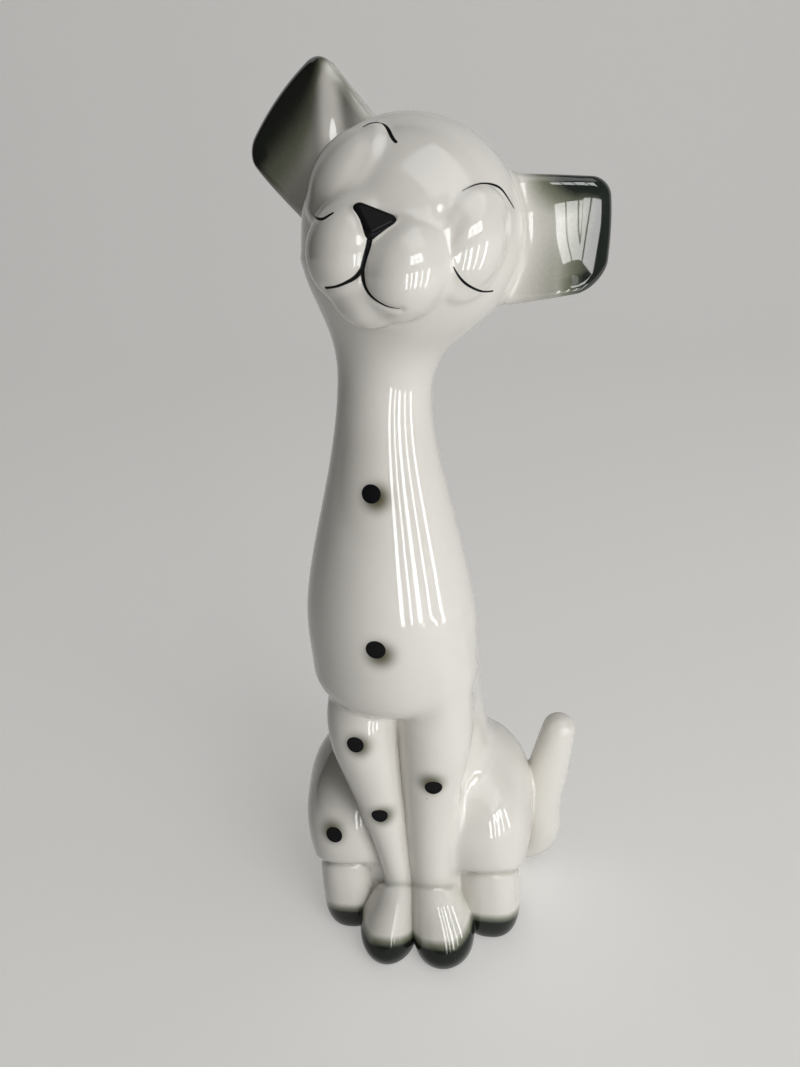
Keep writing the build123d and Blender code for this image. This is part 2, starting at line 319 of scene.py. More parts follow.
# Sprayed grey-green on the ears: start and width of its fades outwards to the rim and upwards to the crown,
# strengths, the pale ridge's place, width and widening, and the drift onto the skull with its reach
EAR_FADES = {
    "rim": (0.05, 0.85), "crown": (-0.15, 0.75), "crown_up": (-0.05, 0.9), "under": (0.25, 0.55),
    "under_up": (-0.1, -0.6), "haze": (-0.35, 0.7), "ridge": (1.02, -0.3), "ridge_wide": (1.0, -1.0),
}
EAR_RIM_STRENGTH = 0.98
EAR_HAZE_STRENGTH = 0.36
PALE_RIDGE = (5.0, 4.5, 5.0)
EAR_DRIFT = (0.22, 1.6)

# Textures of the finishes in repeats for each metre, the crazed part of the neck in metres, and the colours
# and shares that aren't settings
GRAIN = {
    "cloud": 28.0, "craze": 38.0, "craze_warp": 60.0, "craze_patch": 19.0, "speck": 75.0, "gloss": 160.0,
    "ripple": 55.0, "mist": 1400.0, "clay": 900.0, "clay_gloss": 240.0, "paper": 3.0,
}
CRAZED_NECK = ((0.15, 0.17), (0.225, 0.24))
CRAZE_COLOUR = (0.42, 0.36, 0.28)
SPECK_COLOUR = (0.12, 0.10, 0.08)
HALO_COLOUR = (0.09, 0.085, 0.035)
DEEP_COLOUR = (0.010, 0.014, 0.010)
GLAZE_SHEEN = 0.5
TOE_SHEEN = 0.1
ENAMEL_POOLING = 1.8
CLAY_SHADE = 0.72
PAPER_SHADE = 0.97
GRAIN_HEIGHT = 0.0002

# Lamps that mirror as a window: turn from straight ahead to the dog's left and width in metres of the near
# strips that the chest mirrors and of the far panes that the head mirrors, each with distance, bottom and top
WINDOW_STRIPS = ((20.0, 0.03), (31.0, 0.018), (42.0, 0.036), (56.0, 0.02), (72.0, 0.03))
STRIP_PLACE = (0.37, 0.002, 0.22)
WINDOW_PANES = ((33.5, 0.16), (45.0, 0.16), (56.5, 0.16))
PANE_PLACE = (0.9, 0.4, 0.7)

# Other lamps: turn, distance, height and size; the height that lamps look at; the surroundings
OVERHEAD_LAMP = (60.0, 0.75, 1.5, (1.2, 1.2))
FILL_LAMP = (-75.0, 1.3, 0.9, (0.9, 1.4))
LAMP_AIM = 0.5
WARM_LIGHT = (0.42, 0.38, 0.33)
COOL_LIGHT = (1.0, 1.02, 1.06)
BACKDROP_STEPS = 25
BACKDROP_COLUMNS = 9
BACKDROP_GLOW = 0.46
WORLD_GLOW = 0.6

# Kinds of casting: steps along an edge of the blown-up cube where it is made from one, longest ray from
# inside it, how far the skin may stand over its own surface, and how dark its creases are, partly thicker
# glaze and partly painted shade
CASTINGS = {
    "body_shell": {"reach": 60.0, "bulge": 14.0, "crease": 0.0},
    "head_shell": {"steps": 122, "reach": 60.0, "bulge": 16.0, "crease": 0.0},
    "muzzle": {"steps": 96, "reach": 40.0, "bulge": 8.0, "crease": 0.15},
    "nose": {"steps": 44, "reach": 20.0, "bulge": 0.0, "crease": 0.0},
    "eyelid": {"steps": 60, "reach": 30.0, "bulge": 5.0, "crease": 0.1},
    "ear": {"reach": 20.0, "bulge": 6.0, "crease": 0.6},
    "foreleg": {"reach": 40.0, "bulge": 9.0, "crease": 0.2},
    "forepaw": {"steps": 70, "reach": 30.0, "bulge": 2.0, "crease": 0.4},
    "haunch": {"steps": 84, "reach": 40.0, "bulge": 9.0, "crease": 0.25},
    "hind_paw": {"steps": 84, "reach": 40.0, "bulge": 2.0, "crease": 0.4},
    "tail": {"reach": 20.0, "bulge": 2.0, "crease": 0.15},
}
CRISP_KINDS = {"forepaw", "hind_paw", "tail", "nose"}
CREASE_WIDTH = 1.6

# How a casting slips under its neighbours, and how finely the skin is searched
SOFT_EASE = 6.0
CRISP_EASE = 0.4
OWN_STEPS = 9
SKIN_STEPS = 8
SKIN_TESTS = (0.5, 0.25, 0.1)
BLEND_REACH = 24.0
HIDDEN_DEPTH = 7.0
TRACE_STEPS = 90
TRACE_SHARE = 0.8
TRACE_LONGEST = 40.0
TRACE_GAIN = 1e-4
TAIL_BALLS = 70

# Rings along and points round the tube-like castings, the height where the body's skin changes, steps over
# the ears, and how rays are spread from inside a forepaw
BODY_RINGS = 352
BODY_AROUND = 264
BODY_SPLIT = 150.0
FOOT_RINGS = 9
LEG_RINGS = 230
LEG_AROUND = 120
TAIL_RINGS = 150
TAIL_AROUND = 96
TIP_RINGS = 24
EAR_STEPS = 104
EAR_EDGE_RINGS = 11
EAR_LONGEST = 40.0
FOREPAW_SPREAD = np.diag([0.75, 1.0, 0.9])


def turn_about(axis, degrees):
    """Turn matrix about the X, Y or Z axis by the right-hand rule."""
    return np.array(Matrix.Rotation(np.radians(degrees), 3, axis))


HEAD_TURN = (turn_about("Z", HEAD_TURN_ANGLE) @ turn_about("X", HEAD_NOD_ANGLE)
             @ turn_about("Y", HEAD_TILT_ANGLE))
MUZZLE_TURN = turn_about("Y", MUZZLE_LEVEL_ANGLE)


def curve_through(knots, values, at, flat_start=False):
    """Cubic curve through the values, with slopes that make its bend continuous and its ends straight.

    With flat_start the curve starts level. Outside the knots it keeps its end values.
    """
    knots = np.asarray(knots, float)
    values = np.asarray(values, float).reshape(len(knots), -1)
    step = np.diff(knots)
    rise = np.diff(values, axis=0) / step[:, None]
    count = len(knots)
    system = np.zeros((count, count))
    right = np.zeros_like(values)
    inner = np.arange(1, count - 1)
    system[inner, inner - 1] = 1 / step[:-1]
    system[inner, inner] = 2 / step[:-1] + 2 / step[1:]
    system[inner, inner + 1] = 1 / step[1:]
    right[inner] = 3 * (rise[:-1] / step[:-1, None] + rise[1:] / step[1:, None])
    system[0, :2] = (1, 0) if flat_start else (2, 1)
    right[0] = 0 if flat_start else 3 * rise[0]
    system[-1, -2:] = (1, 2)
    right[-1] = 3 * rise[-1]
    slope = np.linalg.solve(system, right)
    at = np.clip(np.asarray(at, float), knots[0], knots[-1])
    span = np.clip(np.searchsorted(knots, at, side="right") - 1, 0, count - 2)
    width = step[span][..., None]
    share = (at[..., None] - knots[span][..., None]) / width
    start, end = values[span], values[span + 1]
    left, right = slope[span] * width, slope[span + 1] * width
    bend = 2 * (start - end) + left + right
    return start + share * (left + share * (3 * (end - start) - 2 * left - right + share * bend))


def soft_min(first, second, fillet):
    """Smaller of two distances, lowered by a sixth of the fillet, with a cubic fade, where they are equal."""
    share = np.maximum(fillet - np.abs(first - second), 0) / fillet
    return np.minimum(first, second) - share**3 * fillet / 6


def soft_max(first, second, fillet):
    """Larger of two distances, raised where they are nearly equal."""
    return -soft_min(-first, -second, fillet)


def round_max(first, second, radius):
    """Distance to the overlap of two forms, with their common edge rounded to the radius."""
    along = np.maximum(first + radius, 0)
    across = np.maximum(second + radius, 0)
    return np.minimum(np.maximum(first, second) + radius, 0) + np.hypot(along, across) - radius


def lobe_gap(offset, half, power=2.0):
    """Distance to an egg-like lobe: k^(p - 1) (k - 1) / s.

    k is the p-norm of the offset divided by the half sizes, and s the length of the vector of those shares
    to the power p - 1, divided by the half sizes again. A power over two squares the lobe off.
    """
    scaled = np.abs(offset / half)
    near = ((scaled**power).sum(-1) + TINY) ** (1 / power)
    least = TINY / np.prod(half) ** (2 / len(half))
    slope = np.sqrt(((scaled ** (power - 1) / half) ** 2).sum(-1) + least)
    return near ** (power - 1) * (near - 1) / slope


def oval_gap(points, rows, flat_start=False):
    """Distance, in the level plane, to the oval that a stack of sections has at the point's height."""
    middle_x, middle_y, half_x, half_y = np.moveaxis(
        curve_through(rows[:, 0], rows[:, 1:], points[..., 2], flat_start), -1, 0)
    across = (points[..., 0] - middle_x) / half_x
    along = (points[..., 1] - middle_y) / half_y
    near = np.sqrt(across**2 + along**2 + TINY)
    slope = np.sqrt((across / half_x) ** 2 + (along / half_y) ** 2 + TINY / (half_x * half_y))
    return near * (near - 1) / slope


def unit(vectors):
    """Vectors of length one in the same directions."""
    return vectors / np.linalg.norm(vectors, axis=-1, keepdims=True)


def ramp(value, start, width):
    """Straight rise from 0 to 1 over a width from a start; with a width below zero it rises downwards."""
    return np.clip((value - start) / width, 0, 1)


def bells(value, lines):
    """Sum of bell curves, each with its strength and width."""
    return sum(strength * np.exp(-((value / width) ** 2)) for strength, width in lines)


def along_line(line):
    """Length along a line up to each of its points."""
    return np.concatenate([[0], np.cumsum(np.linalg.norm(np.diff(line, axis=0), axis=1))])


def on_floor(gap, points):
    """A form's distance after its foot is cut off level with the floor and the edge rounded."""
    return round_max(gap, -points[..., 2], FOOT_ROUND)


def mirrored(points, name):
    """Points seen from the dog's left, whichever side they are on."""
    return points * np.array([SIDES[name], 1, 1])


def kind_of(name):
    """Casting's name without its side."""
    return name.removeprefix("left_").removeprefix("right_")


def seat_field(points):
    """Seat and waist with two rump lobes."""
    gap = np.maximum(oval_gap(points, SEAT_ROWS), points[..., 2] - SEAT_ROWS[-1, 0])
    for name in SIDES:
        gap = soft_min(gap, lobe_gap(mirrored(points, name) - RUMP_CENTRE, RUMP_HALF), FILLET["rump"])
    return on_floor(gap, points)


def chest_field(points):
    """Blunt overhanging chest that tapers into the neck."""
    height = points[..., 2]
    gap = round_max(oval_gap(points, CHEST_ROWS, True), CHEST_BOTTOM - height, CHEST_ROUND)
    return np.maximum(gap, height - CHEST_ROWS[-1, 0])


def bib_fillet(points):
    """Fillet under the chest: tight on the dog's right, and fading away over the left foreleg."""
    share = ramp(points[..., 0], *BIB_GROWS_IN_X) * ramp(points[..., 1], *BIB_GROWS_IN_Y)
    return FILLET["bib"] + (FILLET["bib_fade"] - FILLET["bib"]) * share


def leg_fillet(points):
    """Fillet beside the forelegs: wide on the outside of the left leg and tight elsewhere."""
    share = ramp(points[..., 0], *LEG_GROWS_IN_X)
    return FILLET["leg_inner"] + (FILLET["leg"] - FILLET["leg_inner"]) * share


def body_field(points):
    """Seat and rump under the chest and neck."""
    return soft_min(seat_field(points), chest_field(points), bib_fillet(points))


def foreleg_field(points, name):
    """Leg through level ovals, from inside the paw up into the chest."""
    rows = FORELEG_ROWS[name]
    points = mirrored(points, name)
    height = points[..., 2]
    return np.maximum(oval_gap(points, rows), np.maximum(rows[0, 0] - height, height - rows[-1, 0]))


def above_slant(points, corner, slope):
    """Distance above a plane that runs level across the dog and rises forwards from a corner."""
    rise = points[..., 2] - corner[2] + slope * (points[..., 1] - corner[1])
    return rise / np.hypot(1, slope)


def forepaw_field(points, name):
    """Bell-shaped paw that widens from the wrist to the toes, cut on a slant at the wrist."""
    points = mirrored(points, name)
    wrist = above_slant(points, WRIST, WRIST_SLOPE)
    return on_floor(round_max(oval_gap(points, FOREPAW_ROWS[name]), wrist, FOREPAW_ROUND), points)


def hind_inset(name):
    """How far in a hind form sits: the right ones lie a little nearer the middle."""
    return np.array([RIGHT_HIND_INSET * (name == "right"), 0, 0])


def haunch_field(points, name):
    """Round thigh of the folded hind leg, cut on a slant above the paw."""
    offset = mirrored(points, name) - HAUNCH_CENTRE + hind_inset(name)
    gap = lobe_gap(offset, HAUNCH_HALF, HAUNCH_POWER)
    return round_max(gap, -above_slant(points, HOCK, HOCK_SLOPE), HOCK_ROUND)


def hind_paw_field(points, name):
    """Block-like paw under the thigh, drawn out upwards, cut on a slant above and on the floor."""
    offset = mirrored(points, name) - HIND_PAW_CENTRE + hind_inset(name)
    offset[..., 2] = np.where(offset[..., 2] > 0, offset[..., 2] / HIND_PAW_DRAW, offset[..., 2])
    gap = lobe_gap(offset, HIND_PAW_HALF, HIND_PAW_POWER)
    return on_floor(round_max(gap, above_slant(points, HOCK, HOCK_SLOPE), HOCK_ROUND), points)


def tail_path(steps):
    """Points and radius along the tail, evenly in length."""
    length = along_line(TAIL_LINE)
    at = np.linspace(0, length[-1], steps)
    return curve_through(length, TAIL_LINE, at), curve_through(length, TAIL_RADIUS, at)[:, 0]


def tail_field(points):
    """Distance to the nearest of many balls strung along the tail's middle line, or, well away from them,
    to the box round them all."""
    line, radius = tail_path(TAIL_BALLS)
    low, high = line.min(axis=0) - radius.max(), line.max(axis=0) + radius.max()
    gap = np.linalg.norm(np.maximum(np.maximum(low - points, points - high), 0), axis=-1)
    close = gap < FILLET["tail"]
    near = points[close]
    least = np.full(len(near), np.inf)
    for ball, reach in zip(line, radius):
        least = np.minimum(least, np.linalg.norm(near - ball, axis=-1) - reach)
    gap[close] = least
    return gap


def in_head(points):
    """Points in the head's own frame."""
    return (points - HEAD_CENTRE) @ HEAD_TURN


def eyelid_frame(name):
    """Middle and turn of an eyelid in the head's frame: its own Y axis points out of the skull."""
    turn = turn_about("Z", SIDES[name] * EYELID_TURN_ANGLE) @ turn_about("X", -EYELID_LIFT_ANGLE)
    out = turn @ np.array([0.0, -1.0, 0.0])
    reach = 1 / np.linalg.norm(out / SKULL_HALF)
    return out * (reach - EYELID_SINK), turn, out


def eyelid_field(points, name):
    """Broad lid with the eyeball's dome standing out under it."""
    middle, turn, out = eyelid_frame(name)
    local = in_head(points) - middle
    ball = lobe_gap((local - out * (EYELID_SINK - EYEBALL_SINK)) @ turn, EYEBALL_HALF)
    return soft_min(lobe_gap(local @ turn, EYELID_HALF), ball, FILLET["eyeball"])


def skull_field(points):
    """Ball of the head with a hollow round each eyelid."""
    local = in_head(points)
    gap = lobe_gap(local, SKULL_HALF)
    for name in SIDES:
        middle, turn, out = eyelid_frame(name)
        hollow = lobe_gap((local - middle - out * EYELID_SINK) @ turn, SOCKET_HALF)
        gap = soft_max(gap, -hollow, FILLET["socket"])
    return gap


def in_muzzle(points):
    """Points in the muzzle's frame, which is levelled against the head's tilt."""
    return (in_head(points) - MUZZLE_MIDDLE) @ MUZZLE_TURN


def from_muzzle(place):
    """A place of the muzzle's frame, in the figure's frame."""
    return HEAD_CENTRE + HEAD_TURN @ (MUZZLE_MIDDLE + MUZZLE_TURN @ place)


def muzzle_field(points):
    """Two whisker pads over a chin."""
    local = in_muzzle(points)
    spread = np.array([PAD_SPREAD, 0, 0])
    left, right = lobe_gap(local - spread, PAD_HALF), lobe_gap(local + spread, PAD_HALF)
    pads = soft_min(left, right, FILLET["pads"])
    return soft_min(pads, lobe_gap(local - CHIN_PLACE, CHIN_HALF), FILLET["pads"])


def nose_field(points):
    """Flat triangle swollen on all sides: the distance to the triangle less its round."""
    local = in_muzzle(points)
    first, second, third = NOSE_CORNERS
    face = unit(np.cross(second - first, third - first))
    over = np.ones(local.shape[:-1], bool)
    rim = np.full(local.shape[:-1], np.inf)
    for start, end in ((first, second), (second, third), (third, first)):
        edge, offset = end - start, local - start
        share = np.clip(offset @ edge / (edge @ edge), 0, 1)
        rim = np.minimum(rim, np.linalg.norm(offset - share[..., None] * edge, axis=-1))
        over &= offset @ np.cross(face, edge) > 0
    return np.where(over, np.abs((local - first) @ face), rim) - NOSE_ROUND


def ear_axes(name):
    """Ear's own axes in the head's frame: along the flap, across it to the crown, and out of its front."""
    side = SIDES[name]
    rise = np.radians(EARS[name]["rise"])
    along = np.array([side * np.cos(rise), 0, np.sin(rise)])
    across = np.array([-side * np.sin(rise), 0, np.cos(rise)])
    return np.stack([along, across, np.array([0.0, -1.0, 0.0])], -1)


def in_ear(points, name):
    """Points in an ear's own axes, from the middle of its root."""
    return (in_head(points) - EARS[name]["root"]) @ ear_axes(name)


def ear_shares(along, across, name):
    """Share of the way from the root to the rim, and from the middle to the upper edge."""
    ear = EARS[name]
    outward = along / ear["length"]
    kept = np.clip(outward, EAR_TAPER_START, 1)
    half = ear["root_half"] + kept * (ear["rim_half"] - ear["root_half"])
    return outward, (across - kept * ear["shift"]) / half, half


def ear_fold(along, across, name):
    """Distance across the ear from its fold, towards the crown."""
    outward, upward, half = ear_shares(along, across, name)
    start, slant = EARS[name]["fold_line"]
    return half * (upward - start - slant * np.clip(outward, EAR_TAPER_START, 1))


def ear_faces(along, across, name):
    """Heights of the ear's front and back over its middle sheet.

    The front has a fold from the upper outer corner to the root, a ridge beside it, and a bowl with one
    curvature that deepens towards the rim.
    """
    outward = ear_shares(along, across, name)[0]
    share = np.clip(outward, EAR_TAPER_START, 1)
    thick = EAR_ROOT_HALF_THICKNESS + share * (EAR_RIM_HALF_THICKNESS - EAR_ROOT_HALF_THICKNESS)
    fold = ear_fold(along, across, name)
    depth = EARS[name]["fold"]
    valley = (1 - EAR_FOLD_FADE * share) * bells(fold, ((depth, EAR_FOLD_WIDTH),))
    ridge = bells(fold + EAR_RIDGE_OFFSET * EAR_FOLD_WIDTH, ((depth / 2, EAR_FOLD_WIDTH),))
    bowl = EARS[name]["bowl"] / 2 * (EAR_BOWL_HALF**2 - across**2)
    return thick - valley + ridge - bowl * ramp(outward, EAR_BEND_START, 1), thick


def ear_curl(along, across, name):
    """How far back the ear's middle sheet lies: the square of the way past the start of the curl, and a lean
    that grows from the root."""
    outward = along / EARS[name]["length"]
    past = np.maximum(outward - EAR_CURL_START, 0) / (1 - EAR_CURL_START)
    lean = EARS[name]["tilt"] * across * ramp(outward, EAR_BEND_START, 1)
    return EAR_CURL * np.minimum(past, EAR_CURL_LIMIT) ** 2 + lean


def ear_outline(along, across, name):
    """Distance, in the sheet, to the flap's outline: a rectangle with rounded corners and a bowed rim."""
    ear = EARS[name]
    outward, upward, half = ear_shares(along, across, name)
    corner = np.where(upward > 0, *ear["corners"])
    bowed = along - ear["bow"] * np.clip(outward, 0, 1) * (1 - np.minimum(upward**2, 1))
    over = np.abs(bowed - (ear["length"] - EAR_DEPTH) / 2) - (ear["length"] + EAR_DEPTH) / 2 + corner
    wide = (np.abs(upward) - 1) * half + corner
    return np.minimum(np.maximum(over, wide), 0) + np.hypot(np.maximum(over, 0), np.maximum(wide, 0)) - corner


def ear_field(points, name):
    """Flap between its front and back faces, with a rounded edge."""
    along, across, out = np.moveaxis(in_ear(points, name), -1, 0)
    out = out + ear_curl(along, across, name)
    front, back = ear_faces(along, across, name)
    faces = np.maximum(out - front, -out - back)
    return round_max(ear_outline(along, across, name), faces, EAR_EDGE_ROUND)


def both_sides(kind, field):
    """A casting's field on the dog's left and on its right."""
    return {f"{name}_{kind}": partial(field, name=name) for name in SIDES}


LOWER_FIELDS = {
    "body_shell": body_field, **both_sides("haunch", haunch_field), **both_sides("foreleg", foreleg_field),
    **both_sides("forepaw", forepaw_field), **both_sides("hind_paw", hind_paw_field), "tail": tail_field,
}
UPPER_FIELDS = {
    "body_shell": body_field, "head_shell": skull_field, "muzzle": muzzle_field,
    **both_sides("ear", ear_field), **both_sides("eyelid", eyelid_field), "nose": nose_field,
}


def lower_skin(points):
    """Soft union of the body, legs, paws, haunches and tail, and each casting's own distance."""
    whole, chest, bib = seat_field(points), chest_field(points), bib_fillet(points)
    own = {"body_shell": soft_min(whole, chest, bib)}
    own.update({name: field(points) for name, field in LOWER_FIELDS.items() if name not in own})
    for side in SIDES:
        whole = soft_min(whole, own[f"{side}_haunch"], FILLET["haunch"])
    legs = soft_min(own["left_foreleg"], own["right_foreleg"], FILLET["leg_pair"])
    whole = soft_min(soft_min(whole, legs, leg_fillet(points)), chest, bib)
    for side in SIDES:
        whole = soft_min(whole, own[f"{side}_hind_paw"], FILLET["hind_paw"])
    paws = soft_min(own["left_forepaw"], own["right_forepaw"], FILLET["paw_pair"])
    whole = soft_min(whole, paws, FILLET["paw"])
    whole = soft_min(whole, own["tail"], FILLET["tail"])
    return np.maximum(whole, -points[..., 2]), own


def upper_skin(points):
    """Soft union of the neck, head, muzzle, ears, eyelids and nose, and each casting's own distance."""
    own = {name: field(points) for name, field in UPPER_FIELDS.items()}
    whole = soft_min(own["body_shell"], own["head_shell"], FILLET["head"])
    whole = soft_min(whole, own["muzzle"], FILLET["muzzle"])
    for kind in ("ear", "eyelid"):
        for side in SIDES:
            whole = soft_min(whole, own[f"{side}_{kind}"], FILLET[kind])
    return soft_min(whole, own["nose"], FILLET["nose"]), own


def skin_of(name):
    """Skin that a casting other than the body is part of; the body is part of both."""
    return lower_skin if name in LOWER_FIELDS else upper_skin


def crease_strength(own):
    """Darkening in the corner between castings, partly thicker glaze and partly painted shade: a bell curve of
    the difference between the two nearest castings' distances, times the larger of their weights."""
    gaps = np.stack(list(own.values()))
    weights = np.array([CASTINGS[kind_of(name)]["crease"] for name in own])
    order = np.argsort(gaps, axis=0)[:2]
    first, second = np.take_along_axis(gaps, order, axis=0)
    return weights[order].max(axis=0) * bells(second - first, ((1.0, CREASE_WIDTH),))


def crossing(value, low, high, steps):
    """Length along each ray where the value rises through zero, between two lengths.

    Straight lines between the ends' values are tried, and an end that stays twice running has its value
    halved. A ray whose value is still below zero at the far end gives that end.
    """
    at_low, at_high = value(low), value(high)
    open_end = at_high <= 0
    kept = np.zeros(len(low))
    for _ in range(steps):
        share = at_low / np.where(at_low == at_high, -1.0, at_low - at_high)
        middle = low + np.clip(share, 0, 1) * (high - low)
        at_middle = value(middle)
        inside = at_middle < 0
        at_high = np.where(inside, np.where(kept < 0, at_high / 2, at_high), at_middle)
        at_low = np.where(inside, at_middle, np.where(kept > 0, at_low / 2, at_low))
        low, high = np.where(inside, middle, low), np.where(inside, high, middle)
        kept = np.where(inside, -1.0, 1.0)
    share = at_low / np.where(at_low == at_high, -1.0, at_low - at_high)
    return np.where(open_end, high, low + np.clip(share, 0, 1) * (high - low))


def cover_depth(name, own):
    """How deep a casting lies under the skin: g^3 / (g^2 + e^2).

    g is how much nearer another casting is, and the ease e is small at crisp creases and large where castings
    melt into each other.
    """
    depth = np.zeros_like(own[name])
    for ease, crisp in ((SOFT_EASE, False), (CRISP_EASE, True)):
        gaps = [gap for other, gap in own.items() if other != name and meet_crisply(name, other) == crisp]
        if gaps:
            nearer = np.maximum(own[name] - np.min(gaps, axis=0), 0)
            depth = np.maximum(depth, nearer**3 / (nearer**2 + ease**2))
    return depth


def meet_crisply(name, other):
    """Whether two castings meet in a sharp crease: paws, tail and nose with all, the forelegs together."""
    kinds = {kind_of(name), kind_of(other)}
    return kinds == {"foreleg"} or bool(kinds & CRISP_KINDS)


def meet_skin(name, origin, ray, skin):
    """Points where rays from inside a casting leave the skin.

    Each ray first finds the casting's own surface. From there it goes on, as far as the bulge, to where the
    skin's distance plus the cover depth first rises through zero. Rays that end far from every other casting,
    or deep inside one, keep the casting's own surface.
    """
    own_field = {**LOWER_FIELDS, **UPPER_FIELDS}[name]
    limits = CASTINGS[kind_of(name)]
    length = crossing(lambda at: own_field(origin + at[:, None] * ray),
                      np.zeros(len(ray)), np.full(len(ray), limits["reach"]), OWN_STEPS)
    around = skin(origin + length[:, None] * ray)[1]
    around = np.min([gap for other, gap in around.items() if other != name], axis=0)
    busy = np.flatnonzero((around < BLEND_REACH) & (around > -HIDDEN_DEPTH))
    start, busy_ray, near = origin[busy], ray[busy], length[busy]

    def over_skin(at):
        whole, own = skin(start + at[:, None] * busy_ray)
        return whole + cover_depth(name, own)

    far = near + limits["bulge"]
    for share in SKIN_TESTS:
        part = near + share * limits["bulge"]
        far = np.where(over_skin(part) > 0, part, far)
    length[busy] = crossing(over_skin, near, far, SKIN_STEPS)
    return origin + length[:, None] * ray


def block_grid(steps):
    """Directions over a cube blown up to a ball, even in angle, with their faces pointing outwards."""
    angle = np.tan(np.linspace(-np.pi / 4, np.pi / 4, steps + 1))
    side, up = np.meshgrid(angle, angle, indexing="ij")
    front = np.ones_like(side)
    sheets = []
    for axis in range(3):
        for sign in (1, -1):
            sheets.append(np.roll(np.stack([front * sign, side * sign, up], -1), axis, axis=-1))
    points = np.stack(sheets).reshape(-1, 3)
    index = np.arange(len(points)).reshape(6, steps + 1, steps + 1)
    faces = grid_faces(index)
    _, first, merged = np.unique(np.round(points * 1e6).astype(np.int64), axis=0,
                                 return_index=True, return_inverse=True)
    points = points[first]
    return unit(points), merged.reshape(-1)[faces]


def grid_faces(index):
    """Four-cornered faces between neighbours of the index grids in the last two axes."""
    corners = (index[..., :-1, :-1], index[..., 1:, :-1], index[..., 1:, 1:], index[..., :-1, 1:])
    return np.stack(corners, -1).reshape(-1, 4)


def ring_faces(rows, around):
    """Faces of a tube of rings, closed round, with a point at each end as its last two vertices."""
    index = np.arange(rows * around).reshape(rows, around)
    index = np.concatenate([index, index[:, :1]], axis=1)
    faces = [tuple(face) for face in grid_faces(index)[:, ::-1].tolist()]
    first, last = rows * around, rows * around + 1
    faces += [(first, b, a) for a, b in zip(index[0, :-1].tolist(), index[0, 1:].tolist())]
    faces += [(last, a, b) for a, b in zip(index[-1, :-1].tolist(), index[-1, 1:].tolist())]
    return faces


def star_form(name, centre, spread):
    """Casting seen from one point inside it: rays over a blown-up cube, drawn out by the spread."""
    ray, faces = block_grid(CASTINGS[kind_of(name)]["steps"])
    ray = unit(ray @ spread.T)
    return meet_skin(name, np.broadcast_to(centre, ray.shape), ray, skin_of(name)), faces.tolist()


def camera_axes():
    """Place of the camera and its right, up and forward directions."""
    side, down, roll = np.radians([CAMERA_SIDE_ANGLE, CAMERA_DOWN_ANGLE, CAMERA_ROLL_ANGLE])
    forward = np.array([-np.sin(side) * np.cos(down), np.cos(side) * np.cos(down), -np.sin(down)])
    level = np.array([np.cos(side), np.sin(side), 0.0])
    upright = np.cross(level, forward)
    right = np.cos(roll) * level + np.sin(roll) * upright
    up = np.cos(roll) * upright - np.sin(roll) * level
    place = np.array([np.sin(side), -np.cos(side), 0.0]) * CAMERA_DISTANCE + CAMERA_SIDESTEP * level
    return place + np.array([0, 0, CAMERA_HEIGHT]), right, up, forward


def trace(origin, ray):
    """Where rays from outside first come closest to the skin, by steps as long as the distance to it."""
    length = np.zeros(len(ray))
    best = np.full(len(ray), np.inf)
    kept = length.copy()
    for _ in range(TRACE_STEPS):
        points = origin + length[:, None] * ray
        gap = np.minimum(lower_skin(points)[0], upper_skin(points)[0])
        closer = gap < best - TRACE_GAIN
        kept = np.where(closer, length, kept)
        best = np.minimum(best, gap)
        length = length + np.clip(TRACE_SHARE * gap, 0, TRACE_LONGEST)
    return origin + kept[:, None] * ray


def on_skin(pixels):
    """Places on the skin that the camera sees at the given places of the photograph."""
    place, right, up, forward = camera_axes()
    offset = (np.asarray(pixels, float) - IMAGE_SIZE / 2) / FOCAL_PIXELS
    ray = unit(forward + offset[:, :1] * right - offset[:, 1:] * up)
    return trace(np.broadcast_to(place, ray.shape), ray)


def face_line(pixels, half_widths):
    """Smooth line through places of the photograph, and its half width along it."""
    pixels = np.asarray(pixels, float)
    length = along_line(pixels)
    at = np.linspace(0, length[-1], LINE_STEPS)
    width_at = np.linspace(0, length[-1], len(half_widths))
    return curve_through(length, pixels, at), curve_through(width_at, half_widths, at)[:, 0]


def painted_marks():
    """All face lines and spots, placed on the skin once for every piece."""
    drawn = [face_line(*line) for line in FACE_LINES]
    seen = np.array([pixel for spot, _, smudge in SEEN_SPOTS for pixel in (spot, smudge)])
    placed = on_skin(np.concatenate([pixels for pixels, _ in drawn] + [seen]))
    lines = [(placed[LINE_STEPS * number:LINE_STEPS * (number + 1)], half_width)
             for number, (_, half_width) in enumerate(drawn)]
    behind = np.array([spot for spot, _ in BACK_SPOTS])
    behind = trace(behind, np.tile([0.0, -1.0, 0.0], (len(behind), 1)))
    front = placed[-len(seen):].reshape(-1, 2, 3)
    spots = [(spot, radius, smudge) for (spot, smudge), (_, radius, _) in zip(front, SEEN_SPOTS)]
    spots += [(spot, radius, spot) for spot, (_, radius) in zip(behind, BACK_SPOTS)]
    return {"lines": lines, "spots": spots}


def line_gap(points, line, half_width):
    """Distance to a painted line: the least distance to its points less its half width there."""
    gap = np.full(len(points), NO_MARK)
    low, high = line.min(axis=0) - MARK_REACH, line.max(axis=0) + MARK_REACH
    near = np.flatnonzero(((points > low) & (points < high)).all(axis=1))
    if len(near):
        apart = np.linalg.norm(points[near, None] - line[None], axis=-1) - half_width
        gap[near] = apart.min(axis=1)
    return gap


MARKS = painted_marks()


